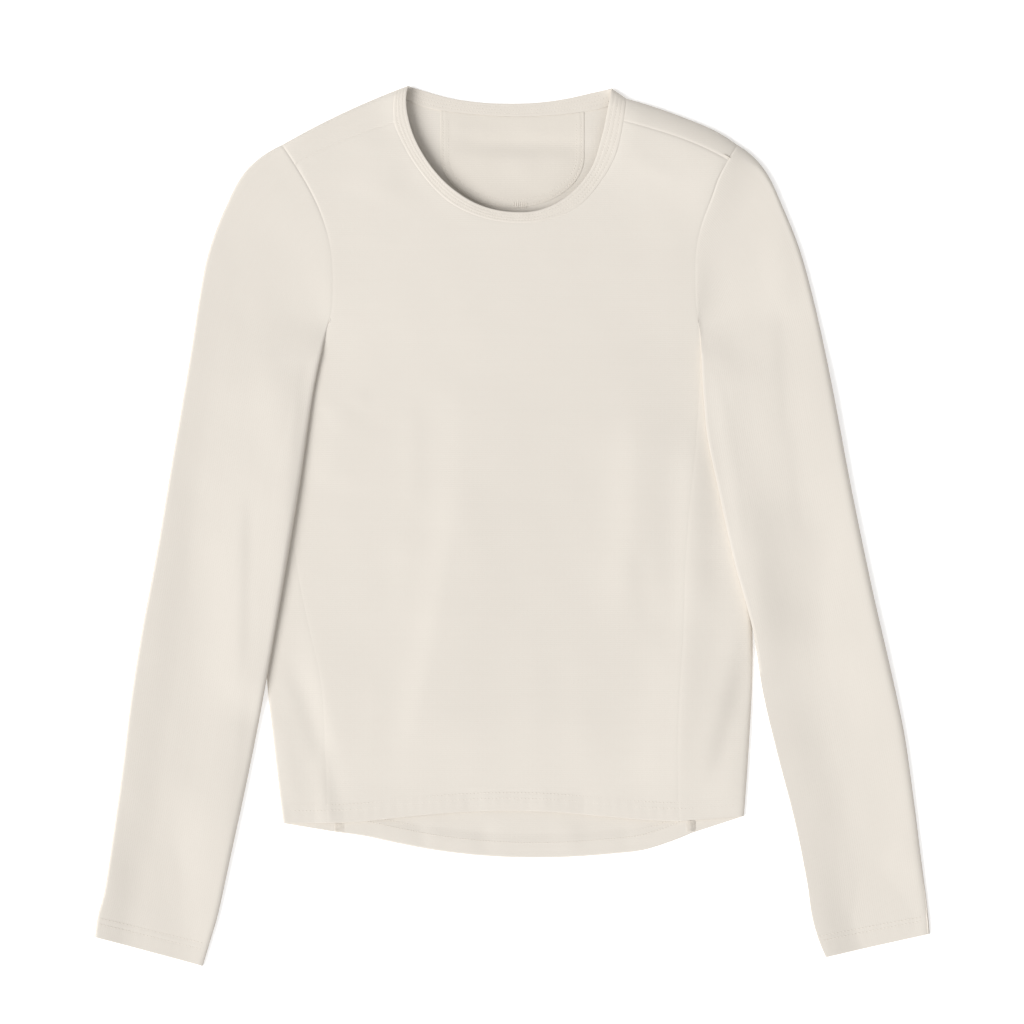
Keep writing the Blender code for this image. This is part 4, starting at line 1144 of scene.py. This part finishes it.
def stitchRows(name, paths, length=2.5, pitch=3.0, width=0.30):
    # Every stitch is a short bead: a ring of radius 0.35 + 0.65 sqrt(sin(pi u)) carried along its piece of
    # the path, with both ends dipping into the cloth.
    look = stitchLook
    u = np.linspace(0, 1, 7)
    turn = np.linspace(0, 2 * np.pi, 6, endpoint=False)
    points, uvs = [], []
    for path in paths:
        total = lengthOf(path)
        starts = np.arange(pitch / 2, total - length, pitch)
        centre = atDistances(path, starts[:, None] + u * length)
        swell = np.sin(np.pi * u) ** 0.5
        centre[..., 2] += look["lift"] - look["endsDip"] * (1 - swell)
        along = unit(np.gradient(centre, axis=1))
        aside = unit(np.cross(along, [0.0, 0.0, 1.0]))
        up = np.cross(aside, along)
        radius = (look["endsWidth"] + (1 - look["endsWidth"]) * swell)[None, :, None, None]
        sideways = aside[:, :, None] * width * np.cos(turn)[:, None]
        upwards = up[:, :, None] * look["height"] * np.sin(turn)[:, None]
        ring = centre[:, :, None] + radius * (sideways + upwards)
        points.append(ring.reshape(-1, 3))
        uv = np.stack(np.broadcast_arrays((starts[:, None] + u * length)[..., None], turn * width), axis=-1)
        uvs.append(uv.reshape(-1, 2))
    points, uvs = np.vstack(points), np.vstack(uvs)
    each = len(u) * len(turn)
    caps = np.array([(0, 1, 2, 3), (0, 3, 4, 5)])
    one = np.concatenate([gridFaces(len(u), len(turn), ring=True), caps, caps[:, ::-1] + each - len(turn)])
    faces = (np.arange(len(points) // each)[:, None, None] * each + one).reshape(-1, 4)
    piece = meshFrom(name, points, faces, uvs, thread)
    return piece


def offsetPath(path, distance, x0, x1):
    # The path moved square to itself towards the neck, between two x values.
    moved = movedAside(path, distance)
    return moved[(moved[:, 0] > x0) & (moved[:, 0] < x1)]


def onSurface(path, surface):
    # The plan path lifted to the height that the surface has there.
    return withHeight(path, surface(path[:, 0], path[:, 1]))


def makeHemStitches():
    # Two rows, each at its own distance above the front hem.
    paths = [offsetPath(frontHemPath, row, *hemLook["stitched"]) for row in hemLook["rows"]]
    return stitchRows("hemStitches", [onSurface(path, frontTop) for path in paths])


def innerFace(x, y):
    # Just above the inside of the back.
    return backLook["wall"] + backInner(x, y) + 0.05


tailLook = {
    "rows": (12.4, 17.0), "stitched": (-150, 152), "length": 2.0, "pitch": 2.4,
    "sunk": 0.05, "looperSunk": 0.15,
}


def makeTailStitches():
    # Inside the tail two rows, and the looper thread that zigzags between them over the turned edge.
    look = tailLook
    first, second = [offsetPath(backHemPath, row, *look["stitched"]) for row in look["rows"]]
    count = int(lengthOf(first) / look["pitch"])
    low, high = [atDistances(row, np.linspace(0, lengthOf(row), count)) for row in (first, second)]
    zigzag = np.where((np.arange(count) % 2 == 0)[:, None], low, high)
    rows = [onSurface(row, innerFace) - (0, 0, look["sunk"]) for row in (first, second)]
    rows.append(onSurface(zigzag, innerFace) - (0, 0, look["looperSunk"]))
    return stitchRows("tailStitches", rows, look["length"], look["pitch"])


seamEndLook = {
    "starts": ((-141.5, -250.5), (146.0, -250.3)), "half": 5, "length": 9.0, "pitch": 1.0, "width": 0.4,
    "belowHem": 0.8,
}


def makeSeamEnds():
    # The overlocked ends of the back side seams: short bars across each seam, from the tail's edge up to
    # just below the front hem.
    look = seamEndLook
    bars = []
    for x, low in look["starts"]:
        across = x + np.linspace(-look["half"], look["half"], 9)
        for y in np.arange(low, hemLine(x) - look["belowHem"], look["pitch"]):
            bars.append(onSurface(np.stack([across, np.full(9, y)], axis=-1), innerFace))
    return stitchRows("seamEnds", bars, look["length"], look["pitch"], width=look["width"])


def makePatchStitches():
    # Rows at even distances inside the half moon, each carried straight up to the neck binding.
    outline = smoothPath(patchOutline()[1:-1])
    top = patchLook["stitchTop"]
    rows = []
    for row in patchLook["rows"]:
        moved = movedAside(outline, row)
        line = np.vstack([[moved[0, 0], top], moved, [moved[-1, 0], top]])
        evenly = atDistances(line, np.arange(0, lengthOf(line), 1.0))
        rows.append(onSurface(evenly, patchTop))
    return stitchRows("patchStitches", rows, tailLook["length"], tailLook["pitch"])


bartackLook = {
    "left": 1.2, "right": 11.6, "bars": 7, "top": 267.6, "bottom": 260.6, "lift": 0.08, "length": 6.2,
    "pitch": 1.0, "width": 0.36,
}


def makeBartack():
    # Seven short bars side by side, low on the inside of the back.
    look = bartackLook
    bars = []
    for x in np.linspace(look["left"], look["right"], look["bars"]):
        line = np.stack([np.full(9, x), np.linspace(look["top"], look["bottom"], 9)], axis=-1)
        bars.append(onSurface(line, patchTop) + (0, 0, look["lift"]))
    return stitchRows("bartack", bars, look["length"], look["pitch"], width=look["width"])


makeFrontPanel()
makeBackPanel()
print("body panels made")
for side in ("left", "right"):
    makeSidePanel(side)
cuffRows = {side: makeSleeve(side) for side in ("left", "right")}
print("side panels and sleeves made")
bandRows = makeNeckBinding()
makeNeckPatch()
print("neck binding and patch made")
hemStitches = makeHemStitches()
tailStitches = makeTailStitches()
seamEnds = makeSeamEnds()
cuffStitches = {side: stitchRows(side + "CuffStitches", rows) for side, rows in cuffRows.items()}
bandStitches = stitchRows("bandStitches", bandRows, 2.1, 2.5)
patchStitches = makePatchStitches()
bartack = makeBartack()
print("stitches made")

studio = {
    "table": 6, "tableBelow": 0.0002,               # half its size, and how far it lies under the cloth
    "height": 5.2, "frame": 0.8392, "centre": (-0.0003, 0.0115),
    "floor": (0.93, 0.93, 0.93), "glow": 0.34,      # a table lit softly from below, as for product pictures
    "world": 0.41,
    "lamps": (                                      # from x, y, height in degrees, breadth in degrees, power
        ("window", -0.97, -0.22, 44.5, 40.0, 2.72),
        ("reflector", 0.05, -1.0, 36.0, 60.0, 0.62),
    ),
}


def makeStage():
    # A pale table, an even sky, two soft suns and a camera straight above whose picture is "frame" wide.
    look = studio
    data = bpy.data.meshes.new("floor")
    size, depth = look["table"], look["tableBelow"]
    corners = [(x * size, y * size, -depth) for x, y in ((-1, -1), (1, -1), (1, 1), (-1, 1))]
    data.from_pydata(corners, [], [(0, 1, 2, 3)])
    floor = bpy.data.objects.new("floor", data)
    bpy.context.scene.collection.objects.link(floor)
    material = bpy.data.materials.new("paleTable")
    material.use_nodes = True
    shader = material.node_tree.nodes["Principled BSDF"]
    shader.inputs["Base Color"].default_value = look["floor"] + (1.0,)
    shader.inputs["Roughness"].default_value = 0.9
    shader.inputs["Specular IOR Level"].default_value = 0.1
    shader.inputs["Emission Color"].default_value = (1.0, 1.0, 1.0, 1.0)
    shader.inputs["Emission Strength"].default_value = look["glow"]
    data.materials.append(material)
    world = bpy.data.worlds.new("studio")
    world.use_nodes = True
    world.node_tree.nodes["Background"].inputs[0].default_value = (1.0, 1.0, 1.0, 1.0)
    world.node_tree.nodes["Background"].inputs[1].default_value = look["world"]
    bpy.context.scene.world = world
    for name, x, y, elevation, breadth, power in look["lamps"]:
        lamp = bpy.data.lights.new(name, "SUN")
        lamp.energy = power
        lamp.angle = np.radians(breadth)
        light = bpy.data.objects.new(name, lamp)
        flat, up = np.cos(np.radians(elevation)), np.sin(np.radians(elevation))
        light.rotation_euler = Vector((x * flat, y * flat, up)).to_track_quat("Z", "Y").to_euler()
        bpy.context.scene.collection.objects.link(light)
    camera = bpy.data.cameras.new("camera")
    camera.sensor_width = 36.0
    camera.lens = 36.0 * (look["height"] - 0.008) / look["frame"]
    camera.clip_end = 20.0
    eye = bpy.data.objects.new("camera", camera)
    eye.location = (look["centre"][0], look["centre"][1], look["height"])
    bpy.context.scene.collection.objects.link(eye)
    bpy.context.scene.camera = eye
    bpy.context.scene.view_settings.view_transform = "Standard"


makeStage()
print("stage set")
